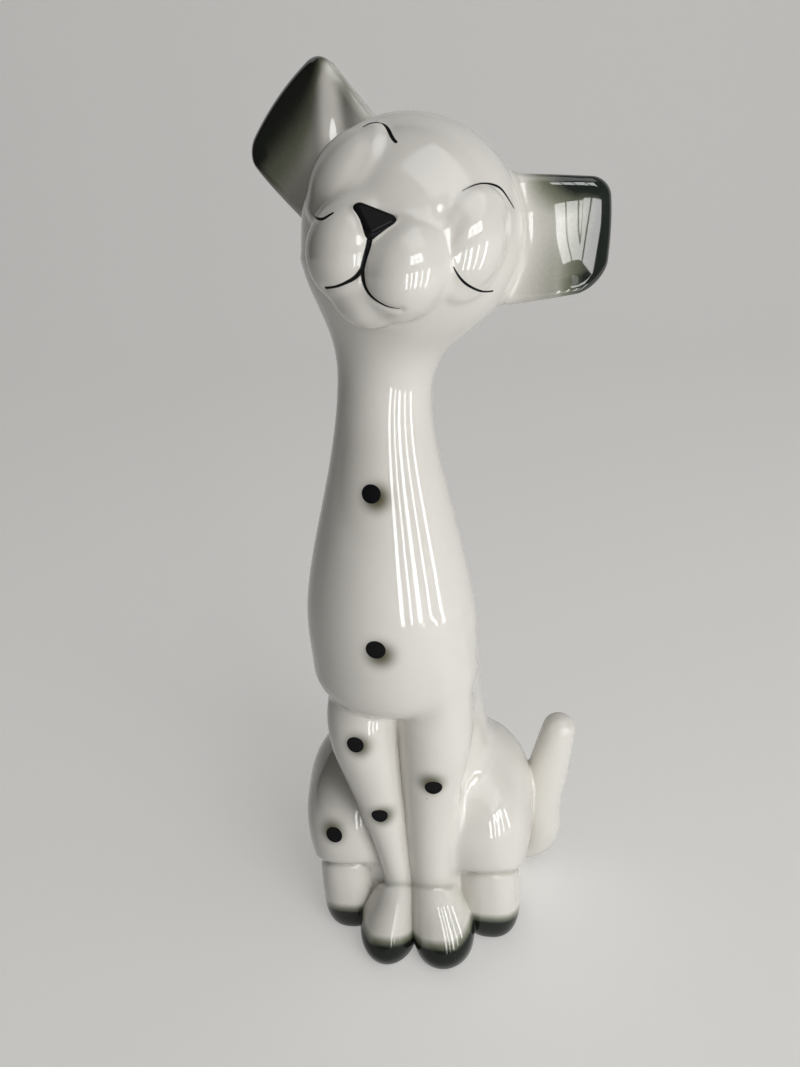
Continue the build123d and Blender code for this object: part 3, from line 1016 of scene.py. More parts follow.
def mark_values(points, skin, **more):
    """Paint on a piece's vertices: ink distance, halo strength round spots, crease strength and more."""
    ink = np.full(len(points), NO_MARK)
    for line, half_width in MARKS["lines"]:
        ink = np.minimum(ink, line_gap(points, line, half_width))
    halo = np.zeros(len(points))
    for middle, radius, smudge in MARKS["spots"]:
        ink = np.minimum(ink, np.linalg.norm(points - middle, axis=1) - radius)
        apart = np.linalg.norm(points - smudge, axis=1) / radius
        halo = np.maximum(halo, np.exp(-((apart / SMUDGE_WIDTH) ** 3)))
    return {"ink": ink, "halo": halo, "crease": crease_strength(skin(points)[1]), **more}


def engrave(points, centre, depth):
    """Press the mouth's lines towards the form's centre, with a bell-shaped section a millimetre wide."""
    gap = np.full(len(points), NO_MARK)
    for line, half_width in MARKS["lines"][:GROOVE_LINES]:
        gap = np.minimum(gap, line_gap(points, line, np.zeros_like(half_width)))
    return points - unit(points - centre) * (depth * np.exp(-(gap**2)))[:, None]


def feed(tree, sockets, given):
    """Give sockets, by name or number, another node's output, a number or a colour."""
    for key, value in given.items():
        if isinstance(value, bpy.types.NodeSocket):
            tree.links.new(value, sockets[key])
        elif sockets[key].type == "RGBA":
            sockets[key].default_value = (*value, 1)
        else:
            sockets[key].default_value = value


def shader_node(tree, kind, given, **options):
    """Outputs of a new shader node with its options and inputs."""
    node = tree.nodes.new(f"ShaderNode{kind}")
    for name, value in options.items():
        setattr(node, name, value)
    feed(tree, node.inputs, given)
    return node.outputs


def attribute(tree, name):
    """One of the painted values of a piece."""
    return shader_node(tree, "Attribute", {}, attribute_name=name)["Fac"]


def maths(tree, operation, first, second=0.0, clamp=False):
    """Result of a math node on two sockets or numbers."""
    return shader_node(tree, "Math", {0: first, 1: second}, operation=operation, use_clamp=clamp)[0]


def remap(tree, value, low, high, to_low=0.0, to_high=1.0):
    """Smooth step of a value from one range to another."""
    given = {"Value": value, "From Min": low, "From Max": high, "To Min": to_low, "To Max": to_high}
    return shader_node(tree, "MapRange", given, interpolation_type="SMOOTHSTEP")["Result"]


def blend_colour(tree, share, first, second):
    """Mix of two colours, each a socket or a colour, by a share."""
    return shader_node(tree, "Mix", {0: share, 6: first, 7: second}, data_type="RGBA")[2]


def own_place(tree):
    """The piece's own coordinates, in metres."""
    return shader_node(tree, "TexCoord", {})["Object"]


def noise(tree, place, grain, detail=2.0, roughness=0.5):
    """Noise over coordinates, with one of the grains."""
    given = {"Vector": place, "Scale": GRAIN[grain], "Detail": detail, "Roughness": roughness}
    return shader_node(tree, "TexNoise", given)["Fac"]


def group_with(name, sockets_in, sockets_out):
    """Empty shader node group with the named inputs and outputs."""
    group = bpy.data.node_groups.new(name, "ShaderNodeTree")
    for label, kind in sockets_in:
        group.interface.new_socket(label, in_out="INPUT", socket_type=kind)
    for label, kind in sockets_out:
        group.interface.new_socket(label, in_out="OUTPUT", socket_type=kind)
    return group, group.nodes.new("NodeGroupInput").outputs, group.nodes.new("NodeGroupOutput").inputs


def glaze_group():
    """Glaze over the clay: faint clouding, pin specks, crazing on the neck, and a darker tint in creases that
    is partly thicker glaze and partly painted shade.
    """
    group, given, out = group_with(
        "Glaze",
        (("Glaze", "NodeSocketColor"), ("Pooled_and_shade", "NodeSocketColor"), ("Crazing", "NodeSocketFloat")),
        (("Color", "NodeSocketColor"), ("Roughness", "NodeSocketFloat"), ("Height", "NodeSocketFloat")))
    place = own_place(group)
    cloud = remap(group, noise(group, place, "cloud", 3.0), 0.35, 0.75, 0.0, 0.16)
    colour = blend_colour(group, cloud, given["Glaze"], given["Pooled_and_shade"])
    # Creases between castings darken towards the pooled colour: partly thicker glaze, partly painted shade
    crease = remap(group, attribute(group, "crease"), 0.1, 1.0, 0.0, 0.5)
    colour = blend_colour(group, crease, colour, given["Pooled_and_shade"])
    warp = {0: noise(group, place, "craze_warp"), 1: (0.02, 0.02, 0.02), 2: place}
    warp = shader_node(group, "VectorMath", warp, operation="MULTIPLY_ADD")[0]
    cells = {"Vector": warp, "Scale": GRAIN["craze"]}
    cells = shader_node(group, "TexVoronoi", cells, feature="DISTANCE_TO_EDGE")
    hair = remap(group, cells["Distance"], 0.0, 0.006, 1.0, 0.0)
    height = shader_node(group, "SeparateXYZ", {0: place})["Z"]
    foot, top = CRAZED_NECK
    neck = maths(group, "MULTIPLY", remap(group, height, *foot), remap(group, height, *top, 1.0, 0.0))
    patch = maths(group, "MULTIPLY", remap(group, noise(group, place, "craze_patch"), 0.52, 0.68), neck)
    hair = maths(group, "MULTIPLY", maths(group, "MULTIPLY", hair, patch), given["Crazing"])
    colour = blend_colour(group, hair, colour, CRAZE_COLOUR)
    specks = shader_node(group, "TexVoronoi", {"Vector": place, "Scale": GRAIN["speck"]})
    chosen = remap(group, specks["Color"], 0.86, 0.88)
    dot = maths(group, "MULTIPLY", remap(group, specks["Distance"], 0.015, 0.04, 0.6, 0.0), chosen)
    ripple = maths(group, "MULTIPLY", noise(group, place, "ripple", 1.0), 0.6)
    feed(group, out, {
        "Color": blend_colour(group, dot, colour, SPECK_COLOUR),
        "Roughness": remap(group, noise(group, place, "gloss", 3.0), 0.3, 0.8, 0.025, 0.06),
        "Height": maths(group, "SUBTRACT", ripple, maths(group, "MULTIPLY", hair, 0.15)),
    })
    return group


def paint_group():
    """Paint under and on the glaze: sprayed grey-green that darkens with its strength, halos and enamel."""
    group, given, out = group_with(
        "Paint",
        (("Glaze", "NodeSocketColor"), ("Height", "NodeSocketFloat"), ("Spray", "NodeSocketColor"),
         ("Enamel", "NodeSocketColor")),
        (("Color", "NodeSocketColor"), ("Height", "NodeSocketFloat"), ("Ink", "NodeSocketFloat"),
         ("Deep", "NodeSocketFloat")))
    mist = remap(group, noise(group, own_place(group), "mist", 3.0, 0.6), 0.25, 0.75, -0.015, 0.015)
    spray = attribute(group, "spray")
    edge = maths(group, "MULTIPLY", remap(group, spray, 0.0, 0.2), mist)
    strength = maths(group, "ADD", spray, edge, clamp=True)
    colour = blend_colour(group, attribute(group, "halo"), given["Glaze"], HALO_COLOUR)
    colour = blend_colour(group, remap(group, strength, 0.0, 0.6), colour, given["Spray"])
    deep = remap(group, strength, 0.45, 0.98)
    colour = blend_colour(group, deep, colour, DEEP_COLOUR)
    ink = remap(group, attribute(group, "ink"), -0.09, 0.09, 1.0, 0.0)
    feed(group, out, {
        "Color": blend_colour(group, ink, colour, given["Enamel"]),
        "Height": maths(group, "ADD", given["Height"], maths(group, "MULTIPLY", ink, 0.5)),
        "Ink": ink,
        "Deep": deep,
    })
    return group


def new_material(name):
    """Material with a Principled shader, and its tree."""
    material = bpy.data.materials.new(name)
    material.use_nodes = True
    tree = material.node_tree
    return material, tree, tree.nodes["Principled BSDF"]


def bump(tree, height, strength):
    """Normal of a surface with a fine height."""
    given = {"Strength": strength, "Distance": GRAIN_HEIGHT, "Height": height}
    return shader_node(tree, "Bump", given)["Normal"]


def glazed_material(name, glaze, pooled_and_shade, paint, crazing, deep_sheen):
    """Glossy glazed ceramic with sprayed and brushed paint; dark spray mirrors with its own strength."""
    material, tree, shader = new_material(name)
    base = shader_node(tree, "Group", {"Glaze": glaze, "Pooled_and_shade": pooled_and_shade, "Crazing": crazing},
                       node_tree=bpy.data.node_groups.get("Glaze") or glaze_group())
    given = {"Glaze": base["Color"], "Height": base["Height"], "Spray": paint.spray, "Enamel": paint.enamel}
    top = shader_node(tree, "Group", given, node_tree=bpy.data.node_groups.get("Paint") or paint_group())
    sheen = remap(tree, top["Deep"], 0, 1, GLAZE_SHEEN, deep_sheen)
    feed(tree, shader.inputs, {
        "Base Color": top["Color"],
        "Roughness": base["Roughness"],
        "Specular IOR Level": maths(tree, "MULTIPLY", sheen, remap(tree, top["Ink"], 0, 1, 1, 0)),
        "Normal": bump(tree, top["Height"], 0.25),
        "IOR": 1.7, "Coat Weight": 0.15, "Coat Roughness": 0.03,
    })
    return material


def biscuit_material(name, colour):
    """Bare fired clay: dry, grainy, with a few darker grains."""
    material, tree, shader = new_material(name)
    place = own_place(tree)
    grain = noise(tree, place, "clay", 5.0, 0.7)
    dark = [CLAY_SHADE * part for part in colour]
    feed(tree, shader.inputs, {
        "Base Color": blend_colour(tree, remap(tree, grain, 0.3, 0.75), dark, colour),
        "Roughness": remap(tree, noise(tree, place, "clay_gloss"), 0.3, 0.7, 0.7, 0.95),
        "Normal": bump(tree, grain, 0.4),
    })
    return material


def finish_material(slot):
    """Material of one of the record's slots, made at its first use."""
    label = {"white_glaze": "White glaze", "grey_green_glaze": "Grey-green glaze",
             "black_enamel": "Black enamel", "bare_biscuit": "Bare biscuit"}[slot]
    if label in bpy.data.materials:
        return bpy.data.materials[label]
    paint = bpy.context.scene.dog_finish
    if slot == "bare_biscuit":
        return biscuit_material(label, paint.biscuit)
    if slot == "black_enamel":
        pooled_and_shade = [ENAMEL_POOLING * part for part in paint.enamel]
        return glazed_material(label, paint.enamel, pooled_and_shade, paint, 0.0, GLAZE_SHEEN)
    deep_sheen = TOE_SHEEN if slot == "white_glaze" else GLAZE_SHEEN
    return glazed_material(label, paint.glaze, paint.pooled_and_shade, paint, paint.crazing, deep_sheen)


def add_piece(name, points, faces, values, slot="white_glaze"):
    """Mesh object of one casting in metres, with its painted values, finish and place in the frame."""
    mesh = bpy.data.meshes.new(name)
    mesh.from_pydata((points * MM).tolist(), [], faces)
    mesh.validate()
    mesh.shade_smooth()
    for label in ("ink", "halo", "crease", "spray"):
        data = mesh.attributes.new(label, "FLOAT", "POINT").data
        data.foreach_set("value", np.asarray(values.get(label, np.zeros(len(points))), np.float32))
    piece = bpy.data.objects.new(f"dog_{name}", mesh)
    bpy.context.scene.collection.objects.link(piece)
    mesh.materials.append(finish_material(slot))
    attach(piece, "root")
    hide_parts(name)


def body_rows():
    """Heights of the body's rings, close together at the rounded foot."""
    foot = FOOT_ROUND * (1 - np.cos(np.linspace(0, np.pi / 2, FOOT_RINGS)))
    return np.concatenate([foot, np.linspace(FOOT_ROUND, CHEST_ROWS[-1, 0] - 1, BODY_RINGS)[1:]])


def body_axis(height):
    """Middle of the body at a height, drifting from the seat's middle to the neck's."""
    rows = np.concatenate([SEAT_ROWS[:5, :3], CHEST_ROWS[1:, :3]])
    return np.concatenate([curve_through(rows[:, 0], rows[:, 1:], height), height[:, None]], axis=1)


def toe_spray(points):
    """Dark glaze on the toes: strongest low down in front of each paw, fading upwards, sideways and back."""
    spray = np.zeros(len(points))
    for name, side in SIDES.items():
        _, middle, along, _, reach = FOREPAW_ROWS[name][1]
        hind = HIND_PAW_CENTRE - hind_inset(name)
        for across, front in ((middle, along - reach), (hind[0], hind[1] - HIND_PAW_HALF[1])):
            level = points[:, 2] + TOE_SINK_BACK * np.maximum(points[:, 1] - front, 0)
            level = level + TOE_SINK_SIDE * (side * points[:, 0] - across) ** 2
            spray = np.maximum(spray, ramp(level, TOE_TOP, -TOE_FADE) ** TOE_POWER)
    return spray


def groove_spray_and_shade(points):
    """Grey-green in the grooves above the paws, partly sprayed and partly painted shade: bell curves of the
    distance to their planes.
    """
    side = np.abs(points[:, 0])
    wrist = bells(above_slant(points, WRIST, WRIST_SLOPE), WRIST_LINES)
    hock = bells(above_slant(points, HOCK, HOCK_SLOPE), HOCK_LINES)
    front = ramp(side, *WRIST_SIDE) * ramp(points[:, 1], *WRIST_FRONT)
    outer = ramp(side, *HOCK_SIDE) * ramp(points[:, 2], *HOCK_TOP)
    return np.maximum(wrist * front, hock * outer)


def paw_spray_and_shade(points):
    """Dark toes, and the grooves' grey-green that is partly painted shade, together."""
    return np.maximum(toe_spray(points), groove_spray_and_shade(points))


def level_rays(axis, around):
    """Starts and directions of level rays all round from each point of an axis."""
    angle = np.linspace(0, 2 * np.pi, around, endpoint=False)
    circle = np.stack([np.cos(angle), np.sin(angle), np.zeros(around)], -1)
    return np.repeat(axis, around, axis=0), np.tile(circle, (len(axis), 1))


class DOG_OT_body(Operator):
    """Hollow body with its neck, and the base let into its foot"""
    bl_idname = "dog.body"
    bl_label = "Body"

    def execute(self, context):
        axis = body_axis(body_rows())
        origin, ray = level_rays(axis, BODY_AROUND)
        low = origin[:, 2] < BODY_SPLIT
        points = np.empty_like(origin)
        values = {label: np.empty(len(points)) for label in ("ink", "halo", "crease")}
        for part, skin in ((low, lower_skin), (~low, upper_skin)):
            points[part] = meet_skin("body_shell", origin[part], ray[part], skin)
            for label, value in mark_values(points[part], skin).items():
                values[label][part] = value
        rim = RECESS_CENTRE + RECESS_HALF * ray[:BODY_AROUND]
        lift = np.array([0, 0, RECESS_HEIGHT])
        rings = np.concatenate([rim + lift, rim, points])
        points = np.concatenate([rings, [RECESS_CENTRE + lift, axis[-1]]])
        faces = ring_faces(len(rings) // BODY_AROUND, BODY_AROUND)
        for label, blank in (("ink", NO_MARK), ("halo", 0.0), ("crease", 0.0)):
            values[label] = np.concatenate([np.full(2 * BODY_AROUND, blank), values[label], [blank, blank]])
        # Dark toes, and grey-green in the grooves above the paws that is partly painted shade
        values["spray"] = paw_spray_and_shade(points)
        add_piece("body_shell", points, faces, values)
        disc = frame["nodes"]["base_disc"].data
        disc.materials.clear()
        disc.materials.append(finish_material("bare_biscuit"))
        return {"FINISHED"}


class DOG_OT_head(Operator):
    """Ball of the head with its eye hollows"""
    bl_idname = "dog.head"
    bl_label = "Head"

    def execute(self, context):
        centre = HEAD_CENTRE + HEAD_TURN @ SKULL_EYE
        points, faces = star_form("head_shell", centre, HEAD_TURN)
        values = mark_values(points, upper_skin, spray=ear_root_spray(points))
        add_piece("head_shell", engrave(points, centre, HEAD_GROOVE), faces, values)
        return {"FINISHED"}


def ear_root_spray(points):
    """Faint grey-green that drifted from the ears onto the skull beside their roots."""
    near = np.minimum(ear_field(points, "left"), ear_field(points, "right"))
    strength, reach = EAR_DRIFT
    return strength * np.exp(-np.maximum(near, 0) / reach)


class DOG_OT_face(Operator):
    """Whisker pads with the chin, nose and closed eyelids"""
    bl_idname = "dog.face"
    bl_label = "Face"

    def execute(self, context):
        centre = from_muzzle(MUZZLE_EYE)
        points, faces = star_form("muzzle", centre, HEAD_TURN @ MUZZLE_TURN)
        values = mark_values(points, upper_skin)
        add_piece("muzzle", engrave(points, centre, MUZZLE_GROOVE), faces, values)
        centre = from_muzzle(NOSE_CORNERS.mean(axis=0))
        points, faces = star_form("nose", centre, HEAD_TURN @ MUZZLE_TURN)
        add_piece("nose", points, faces, {"ink": np.full(len(points), -NO_MARK)}, "black_enamel")
        for name in SIDES:
            middle, turn, _ = eyelid_frame(name)
            spread = HEAD_TURN @ turn @ np.diag(EYELID_HALF / EYELID_HALF.max())
            points, faces = star_form(f"{name}_eyelid", HEAD_CENTRE + HEAD_TURN @ middle, spread)
            add_piece(f"{name}_eyelid", points, faces, mark_values(points, upper_skin))
        return {"FINISHED"}


def ear_sheet(name):
    """Places over an ear's inner sheet: concentric squares spread to the outline less the edge round."""
    line = np.linspace(-1, 1, EAR_STEPS + 1)
    first, second = np.meshgrid(line, line, indexing="ij")
    ring = np.maximum(np.abs(first), np.abs(second))
    angle = np.arctan2(second, first)
    ray = np.stack([np.cos(angle), np.sin(angle)], -1).reshape(-1, 2)
    middle = (EARS[name]["length"] - EAR_DEPTH) / 2

    def past_sheet(at):
        return ear_outline(middle + at * ray[:, 0], at * ray[:, 1], name) + EAR_EDGE_ROUND

    reach = crossing(past_sheet, np.zeros(len(ray)), np.full(len(ray), EAR_LONGEST), OWN_STEPS)
    return np.array([middle, 0]) + ray * (reach * ring.reshape(-1))[:, None]


def ear_seeds(name):
    """Starts and directions of an ear's rays, and its faces.

    Rays leave the inner sheet straight to the front and to the back, and fan out round its border.
    """
    sheet, rows = ear_sheet(name), EAR_EDGE_RINGS
    total = len(sheet)
    index = np.arange(total).reshape(EAR_STEPS + 1, -1)
    border = np.concatenate([index[:-1, 0], index[-1, :-1], index[:0:-1, -1], index[0, :0:-1]])
    edge = sheet[border]
    nudge = 0.1
    step = unit(np.stack([
        ear_outline(edge[:, 0] + nudge, edge[:, 1], name) - ear_outline(edge[:, 0] - nudge, edge[:, 1], name),
        ear_outline(edge[:, 0], edge[:, 1] + nudge, name) - ear_outline(edge[:, 0], edge[:, 1] - nudge, name),
    ], -1))
    fan = np.linspace(0, np.pi, rows + 2)[1:-1]
    start = np.concatenate([sheet, sheet, np.tile(edge, (rows, 1))])
    start = np.concatenate([start, -ear_curl(start[:, :1], start[:, 1:], name)], axis=1)
    straight = np.tile([0.0, 0.0, 1.0], (total, 1))
    round_edge = np.concatenate([(np.sin(fan)[:, None, None] * step).reshape(-1, 2),
                                 np.repeat(np.cos(fan), len(edge))[:, None]], axis=1)
    ray = np.concatenate([straight, -straight, round_edge])
    loops = np.concatenate([border[None], 2 * total + np.arange(rows * len(edge)).reshape(rows, -1),
                            total + border[None]])
    loops = np.concatenate([loops, loops[:, :1]], axis=1)
    faces = np.concatenate([grid_faces(index), grid_faces(total + index)[:, ::-1], grid_faces(loops)])
    return start, ray, faces


class DOG_OT_ears(Operator):
    """Two thick folded flaps, sprayed dark towards their rims"""
    bl_idname = "dog.ears"
    bl_label = "Ears"

    def execute(self, context):
        for name, side in SIDES.items():
            start, ray, faces = ear_seeds(name)
            axes = HEAD_TURN @ ear_axes(name)
            origin = HEAD_CENTRE + HEAD_TURN @ EARS[name]["root"] + start @ axes.T
            points = meet_skin(f"{name}_ear", origin, ray @ axes.T, upper_skin)
            values = mark_values(points, upper_skin, spray=ear_spray(points, name))
            order = faces if side > 0 else faces[:, ::-1]
            add_piece(f"{name}_ear", points, order.tolist(), values, "grey_green_glaze")
        return {"FINISHED"}


def ear_spray(points, name):
    """Sprayed strength on an ear: dark along the outer rim and the upper edge, pale towards the root and
    along the ridge beside the fold."""
    along, across, out = np.moveaxis(in_ear(points, name), -1, 0)
    outward, upward, _ = ear_shares(along, across, name)
    fade = {label: ramp(upward if label.endswith("_up") else outward, *bounds)
            for label, bounds in EAR_FADES.items()}
    rim = EAR_RIM_STRENGTH * fade["rim"] ** EARS[name]["spread"]
    crown = EARS[name]["crown"] * fade["crown_up"] * fade["crown"]
    under = fade["under_up"] * fade["under"]
    offset, width, widening = PALE_RIDGE
    width = width + widening * fade["ridge_wide"]
    ridge = bells(ear_fold(along, across, name) + offset, ((fade["ridge"], width),))
    ridge = ridge * (out + ear_curl(along, across, name) > 0)
    strength = np.maximum.reduce([rim, crown, under, EAR_HAZE_STRENGTH * fade["haze"]])
    return np.clip(strength * (1 - EARS[name]["pale"] * ridge), 0, 1)


class DOG_OT_forelegs(Operator):
    """Two straight forelegs with their paws"""
    bl_idname = "dog.forelegs"
    bl_label = "Forelegs"

    def execute(self, context):
        for name, side in SIDES.items():
            rows = FORELEG_ROWS[name]
            height = np.linspace(rows[0, 0] + 1, rows[-1, 0] - 1, LEG_RINGS)
            middle = curve_through(rows[:, 0], rows[:, 1:3], height)
            axis = np.concatenate([middle * np.array([side, 1]), height[:, None]], axis=1)
            points = meet_skin(f"{name}_foreleg", *level_rays(axis, LEG_AROUND), lower_skin)
            points = np.concatenate([points, axis[[0, -1]]])
            # Grey-green in the wrist groove, partly painted shade
            values = mark_values(points, lower_skin, spray=groove_spray_and_shade(points))
            add_piece(f"{name}_foreleg", points, ring_faces(LEG_RINGS, LEG_AROUND), values)
            row = FOREPAW_ROWS[name][2]
            centre = np.array([side * row[1], row[2], row[0]])
            points, faces = star_form(f"{name}_forepaw", centre, FOREPAW_SPREAD)
            # Dark toes, grey-green in the wrist groove that is partly painted shade, and an even faint share
            # over the whole paw
            values = mark_values(points, lower_skin, spray=paw_spray_and_shade(points).clip(PAW_TINT))
            add_piece(f"{name}_forepaw", points, faces, values)
        return {"FINISHED"}


class DOG_OT_hindquarters(Operator):
    """Two haunches with their hind paws"""
    bl_idname = "dog.hindquarters"
    bl_label = "Hindquarters"

    def execute(self, context):
        for name in SIDES:
            for kind, centre, half in (("haunch", HAUNCH_CENTRE, HAUNCH_HALF),
                                       ("hind_paw", HIND_PAW_CENTRE, HIND_PAW_HALF)):
                spread = np.diag(half / half.max())
                points, faces = star_form(f"{name}_{kind}", mirrored(centre, name), spread)
                # Dark toes, and grey-green in the hock groove that is partly painted shade
                values = mark_values(points, lower_skin, spray=paw_spray_and_shade(points))
                add_piece(f"{name}_{kind}", points, faces, values)
        return {"FINISHED"}


class DOG_OT_tail(Operator):
    """Tail that leaves the rump on the dog's left and stands up beside the haunch"""
    bl_idname = "dog.tail"
    bl_label = "Tail"

    def execute(self, context):
        line, _ = tail_path(TAIL_RINGS)
        ahead = unit(np.gradient(line, axis=0))
        first = unit(np.cross(ahead, np.array([0.0, 1.0, 0.0])))
        second = np.cross(ahead, first)
        tilt = np.linspace(0, np.pi / 2, TIP_RINGS + 2)[1:-1]
        angle = np.linspace(0, 2 * np.pi, TAIL_AROUND, endpoint=False)
        circle = np.cos(angle)[:, None] * first[:, None] + np.sin(angle)[:, None] * second[:, None]
        tip = np.cos(tilt)[:, None, None] * circle[-1] + np.sin(tilt)[:, None, None] * ahead[-1]
        ray = np.concatenate([np.concatenate([circle, tip]).reshape(-1, 3), ahead[-1:]])
        middle = np.concatenate([line, np.repeat(line[-1:], TIP_RINGS, axis=0)])
        origin = np.concatenate([np.repeat(middle, TAIL_AROUND, axis=0), line[-1:]])
        points = meet_skin("tail", origin, ray, lower_skin)
        points = np.concatenate([points[:-1], line[:1], points[-1:]])
        faces = ring_faces(len(middle), TAIL_AROUND)
        add_piece("tail", points, faces, mark_values(points, lower_skin))
        return {"FINISHED"}


class DOG_OT_stage(Operator):
    """Pale floor and backdrop, soft lamps and the camera"""
    bl_idname = "dog.stage"
    bl_label = "Stage"

    def execute(self, context):
        studio = context.scene.dog_studio
        add_backdrop(tuple(studio.floor))
        figure = bpy.data.collections.new("Figure")
        for piece in context.scene.objects:
            if piece.name.startswith("dog_"):
                figure.objects.link(piece)
        window = ((WINDOW_STRIPS, STRIP_PLACE, studio.strips, figure),
                  (WINDOW_PANES, PANE_PLACE, studio.panes, None))
        for lamps, (distance, bottom, top), power, lit in window:
            for turn, width in lamps:
                size = (width, top - bottom)
                add_lamp("Window", turn, distance, (bottom + top) / 2, size, power * size[0] * size[1], lit)
        add_lamp("Overhead", *OVERHEAD_LAMP, studio.overhead)
        add_lamp("Left fill", *FILL_LAMP, studio.fill)
        add_world(studio.world, tuple(studio.floor))
        add_camera()
        context.scene.view_settings.view_transform = "Standard"
        return {"FINISHED"}


def add_backdrop(colour):
    """Floor that curves up into a wall behind the figure: a profile carried sideways."""
    bend = np.linspace(0, np.pi / 2, BACKDROP_STEPS)
    radius, front, back, top, half = 0.5, -2.0, 0.9, 2.4, 2.6
    curve = zip(back + radius * np.sin(bend), radius - radius * np.cos(bend))
    profile = [(front, 0), *curve, (back + radius, top)]
    across = np.linspace(-half, half, BACKDROP_COLUMNS)
    points = [(side, along, up) for side in across for along, up in profile]
    faces = grid_faces(np.arange(len(points)).reshape(len(across), -1))
    mesh = bpy.data.meshes.new("backdrop")
    mesh.from_pydata(points, [], faces.tolist())
    mesh.shade_smooth()
    material, tree, shader = new_material("Backdrop paper")
    shade = [PAPER_SHADE * part for part in colour]
    rays = shader_node(tree, "LightPath", {})
    seen = maths(tree, "ADD", rays["Is Camera Ray"], rays["Is Glossy Ray"])
    seen = maths(tree, "ADD", seen, rays["Is Transmission Ray"], clamp=True)
    feed(tree, shader.inputs, {
        "Base Color": blend_colour(tree, noise(tree, own_place(tree), "paper"), colour, shade),
        "Roughness": 0.85,
        "Emission Color": colour,
        "Emission Strength": maths(tree, "MULTIPLY", seen, BACKDROP_GLOW),
    })
    mesh.materials.append(material)
    floor = bpy.data.objects.new("backdrop", mesh)
    bpy.context.scene.collection.objects.link(floor)


def add_lamp(name, turn, distance, height, size, power, lit=None):
    """Soft rectangular lamp, turned from straight ahead to the dog's left, that looks at the chest. It lights
    everything, or one collection only."""
    light = bpy.data.lights.new(name, "AREA")
    light.shape = "RECTANGLE"
    light.size, light.size_y = size
    light.energy = power
    lamp = bpy.data.objects.new(name, light)
    lamp.light_linking.receiver_collection = lit
    angle = np.radians(turn)
    place = Vector((distance * np.sin(angle), -distance * np.cos(angle), height))
    lamp.location = place
    aim = Vector((0, 0, min(height, LAMP_AIM))) - place
    lamp.rotation_euler = aim.to_track_quat("-Z", "Y").to_euler()
    bpy.context.scene.collection.objects.link(lamp)


def add_world(level, colour):
    """Pale light from all round, cooler from the dog's left and warmer and dimmer from its right. The camera
    sees the backdrop's colour instead."""
    world = bpy.data.worlds.new("Studio")
    bpy.context.scene.world = world
    world.use_nodes = True
    tree = world.node_tree
    around = shader_node(tree, "TexCoord", {})["Generated"]
    side = shader_node(tree, "SeparateXYZ", {0: around})["X"]
    light = blend_colour(tree, remap(tree, side, -0.9, 0.9), WARM_LIGHT, COOL_LIGHT)
    shade = tree.nodes["Background"]
    feed(tree, shade.inputs, {"Color": light, "Strength": level})
    plain = shader_node(tree, "Background", {"Color": colour, "Strength": WORLD_GLOW})
    seen = shader_node(tree, "LightPath", {})["Is Camera Ray"]
    mix = shader_node(tree, "MixShader", {0: seen, 1: shade.outputs[0], 2: plain[0]})
    feed(tree, tree.nodes["World Output"].inputs, {"Surface": mix[0]})


def add_camera():
    """Camera at the photograph's viewpoint; its lens follows from the focal length in pixels."""
    place, right, up, forward = camera_axes()
    data = bpy.data.cameras.new("Camera")
    data.sensor_width = SENSOR_MM
    data.lens = SENSOR_MM * FOCAL_PIXELS / IMAGE_SIZE.max()
    data.clip_start = 0.01
    camera = bpy.data.objects.new("Camera", data)
    turn = Matrix(np.stack([right, up, -forward], -1).tolist()).to_4x4()
    camera.matrix_world = Matrix.Translation(Vector(place * MM)) @ turn
    bpy.context.scene.collection.objects.link(camera)
    bpy.context.scene.camera = camera


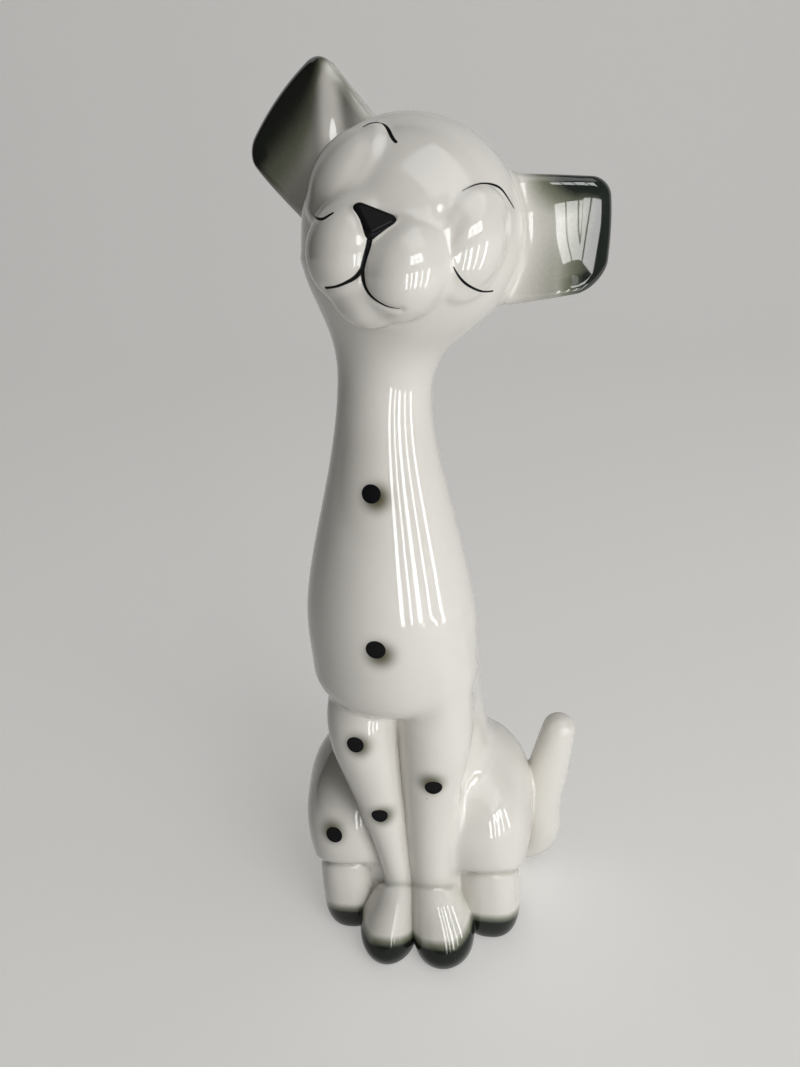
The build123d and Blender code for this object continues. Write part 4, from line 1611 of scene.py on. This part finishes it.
class DogFinish(PropertyGroup):
    """Colours of the glaze and the paint"""
    glaze: FloatVectorProperty(
        name="Glaze", description="Warm white glaze", subtype="COLOR", default=(0.80, 0.775, 0.72))
    # Darker glaze: used for the random clouding, and in creases, where it is partly thicker glaze and partly
    # painted shade
    pooled_and_shade: FloatVectorProperty(
        name="Pooled glaze", description="Glaze where it is thick", subtype="COLOR",
        default=(0.66, 0.645, 0.58))
    spray: FloatVectorProperty(
        name="Spray", description="Sprayed grey-green", subtype="COLOR", default=(0.20, 0.21, 0.15))
    enamel: FloatVectorProperty(
        name="Enamel", description="Black face lines and spots", subtype="COLOR",
        default=(0.008, 0.008, 0.009))
    biscuit: FloatVectorProperty(
        name="Biscuit", description="Bare clay under the foot", subtype="COLOR", default=(0.74, 0.70, 0.62))
    crazing: FloatProperty(
        name="Crazing", description="Strength of the fine cracks", subtype="FACTOR", default=0.12,
        min=0, max=1)


class DogStudio(PropertyGroup):
    """Floor and light"""
    floor: FloatVectorProperty(
        name="Floor", description="Floor and backdrop", subtype="COLOR", default=(0.74, 0.73, 0.71))
    strips: FloatProperty(
        name="Strips", description="Power of the near strips for each square metre", default=18.5)
    panes: FloatProperty(
        name="Panes", description="Power of the far panes for each square metre", default=16.0)
    overhead: FloatProperty(
        name="Overhead", description="Power of the high lamp", unit="POWER", default=4.8)
    fill: FloatProperty(
        name="Fill", description="Power of the lamp opposite", unit="POWER", default=0.06)
    world: FloatProperty(
        name="World", description="Strength of the light all round", default=0.1)


class DOG_PT_builder(Panel):
    """Lists the figurine's steps, colours and lights"""
    bl_label = "Dog"
    bl_idname = "DOG_PT_builder"
    bl_space_type = "VIEW_3D"
    bl_region_type = "UI"
    bl_category = "Dog"

    def draw(self, context):
        for settings in (context.scene.dog_finish, context.scene.dog_studio):
            for name in settings.__annotations__:
                self.layout.prop(settings, name)
        for step in OPERATORS:
            self.layout.operator(step.bl_idname)


OPERATORS = (
    DOG_OT_body, DOG_OT_head, DOG_OT_face, DOG_OT_ears, DOG_OT_forelegs, DOG_OT_hindquarters, DOG_OT_tail,
    DOG_OT_stage,
)
CLASSES = (DogFinish, DogStudio, *OPERATORS, DOG_PT_builder)


def register():
    for item in CLASSES:
        bpy.utils.register_class(item)
    bpy.types.Scene.dog_finish = PointerProperty(type=DogFinish)
    bpy.types.Scene.dog_studio = PointerProperty(type=DogStudio)


def unregister():
    del bpy.types.Scene.dog_studio
    del bpy.types.Scene.dog_finish
    for item in reversed(CLASSES):
        bpy.utils.unregister_class(item)


def main():
    register()
    bpy.ops.dog.body()
    bpy.ops.dog.head()
    bpy.ops.dog.face()
    bpy.ops.dog.ears()
    bpy.ops.dog.forelegs()
    bpy.ops.dog.hindquarters()
    bpy.ops.dog.tail()
    bpy.ops.dog.stage()


if __name__ == "__main__":
    main()
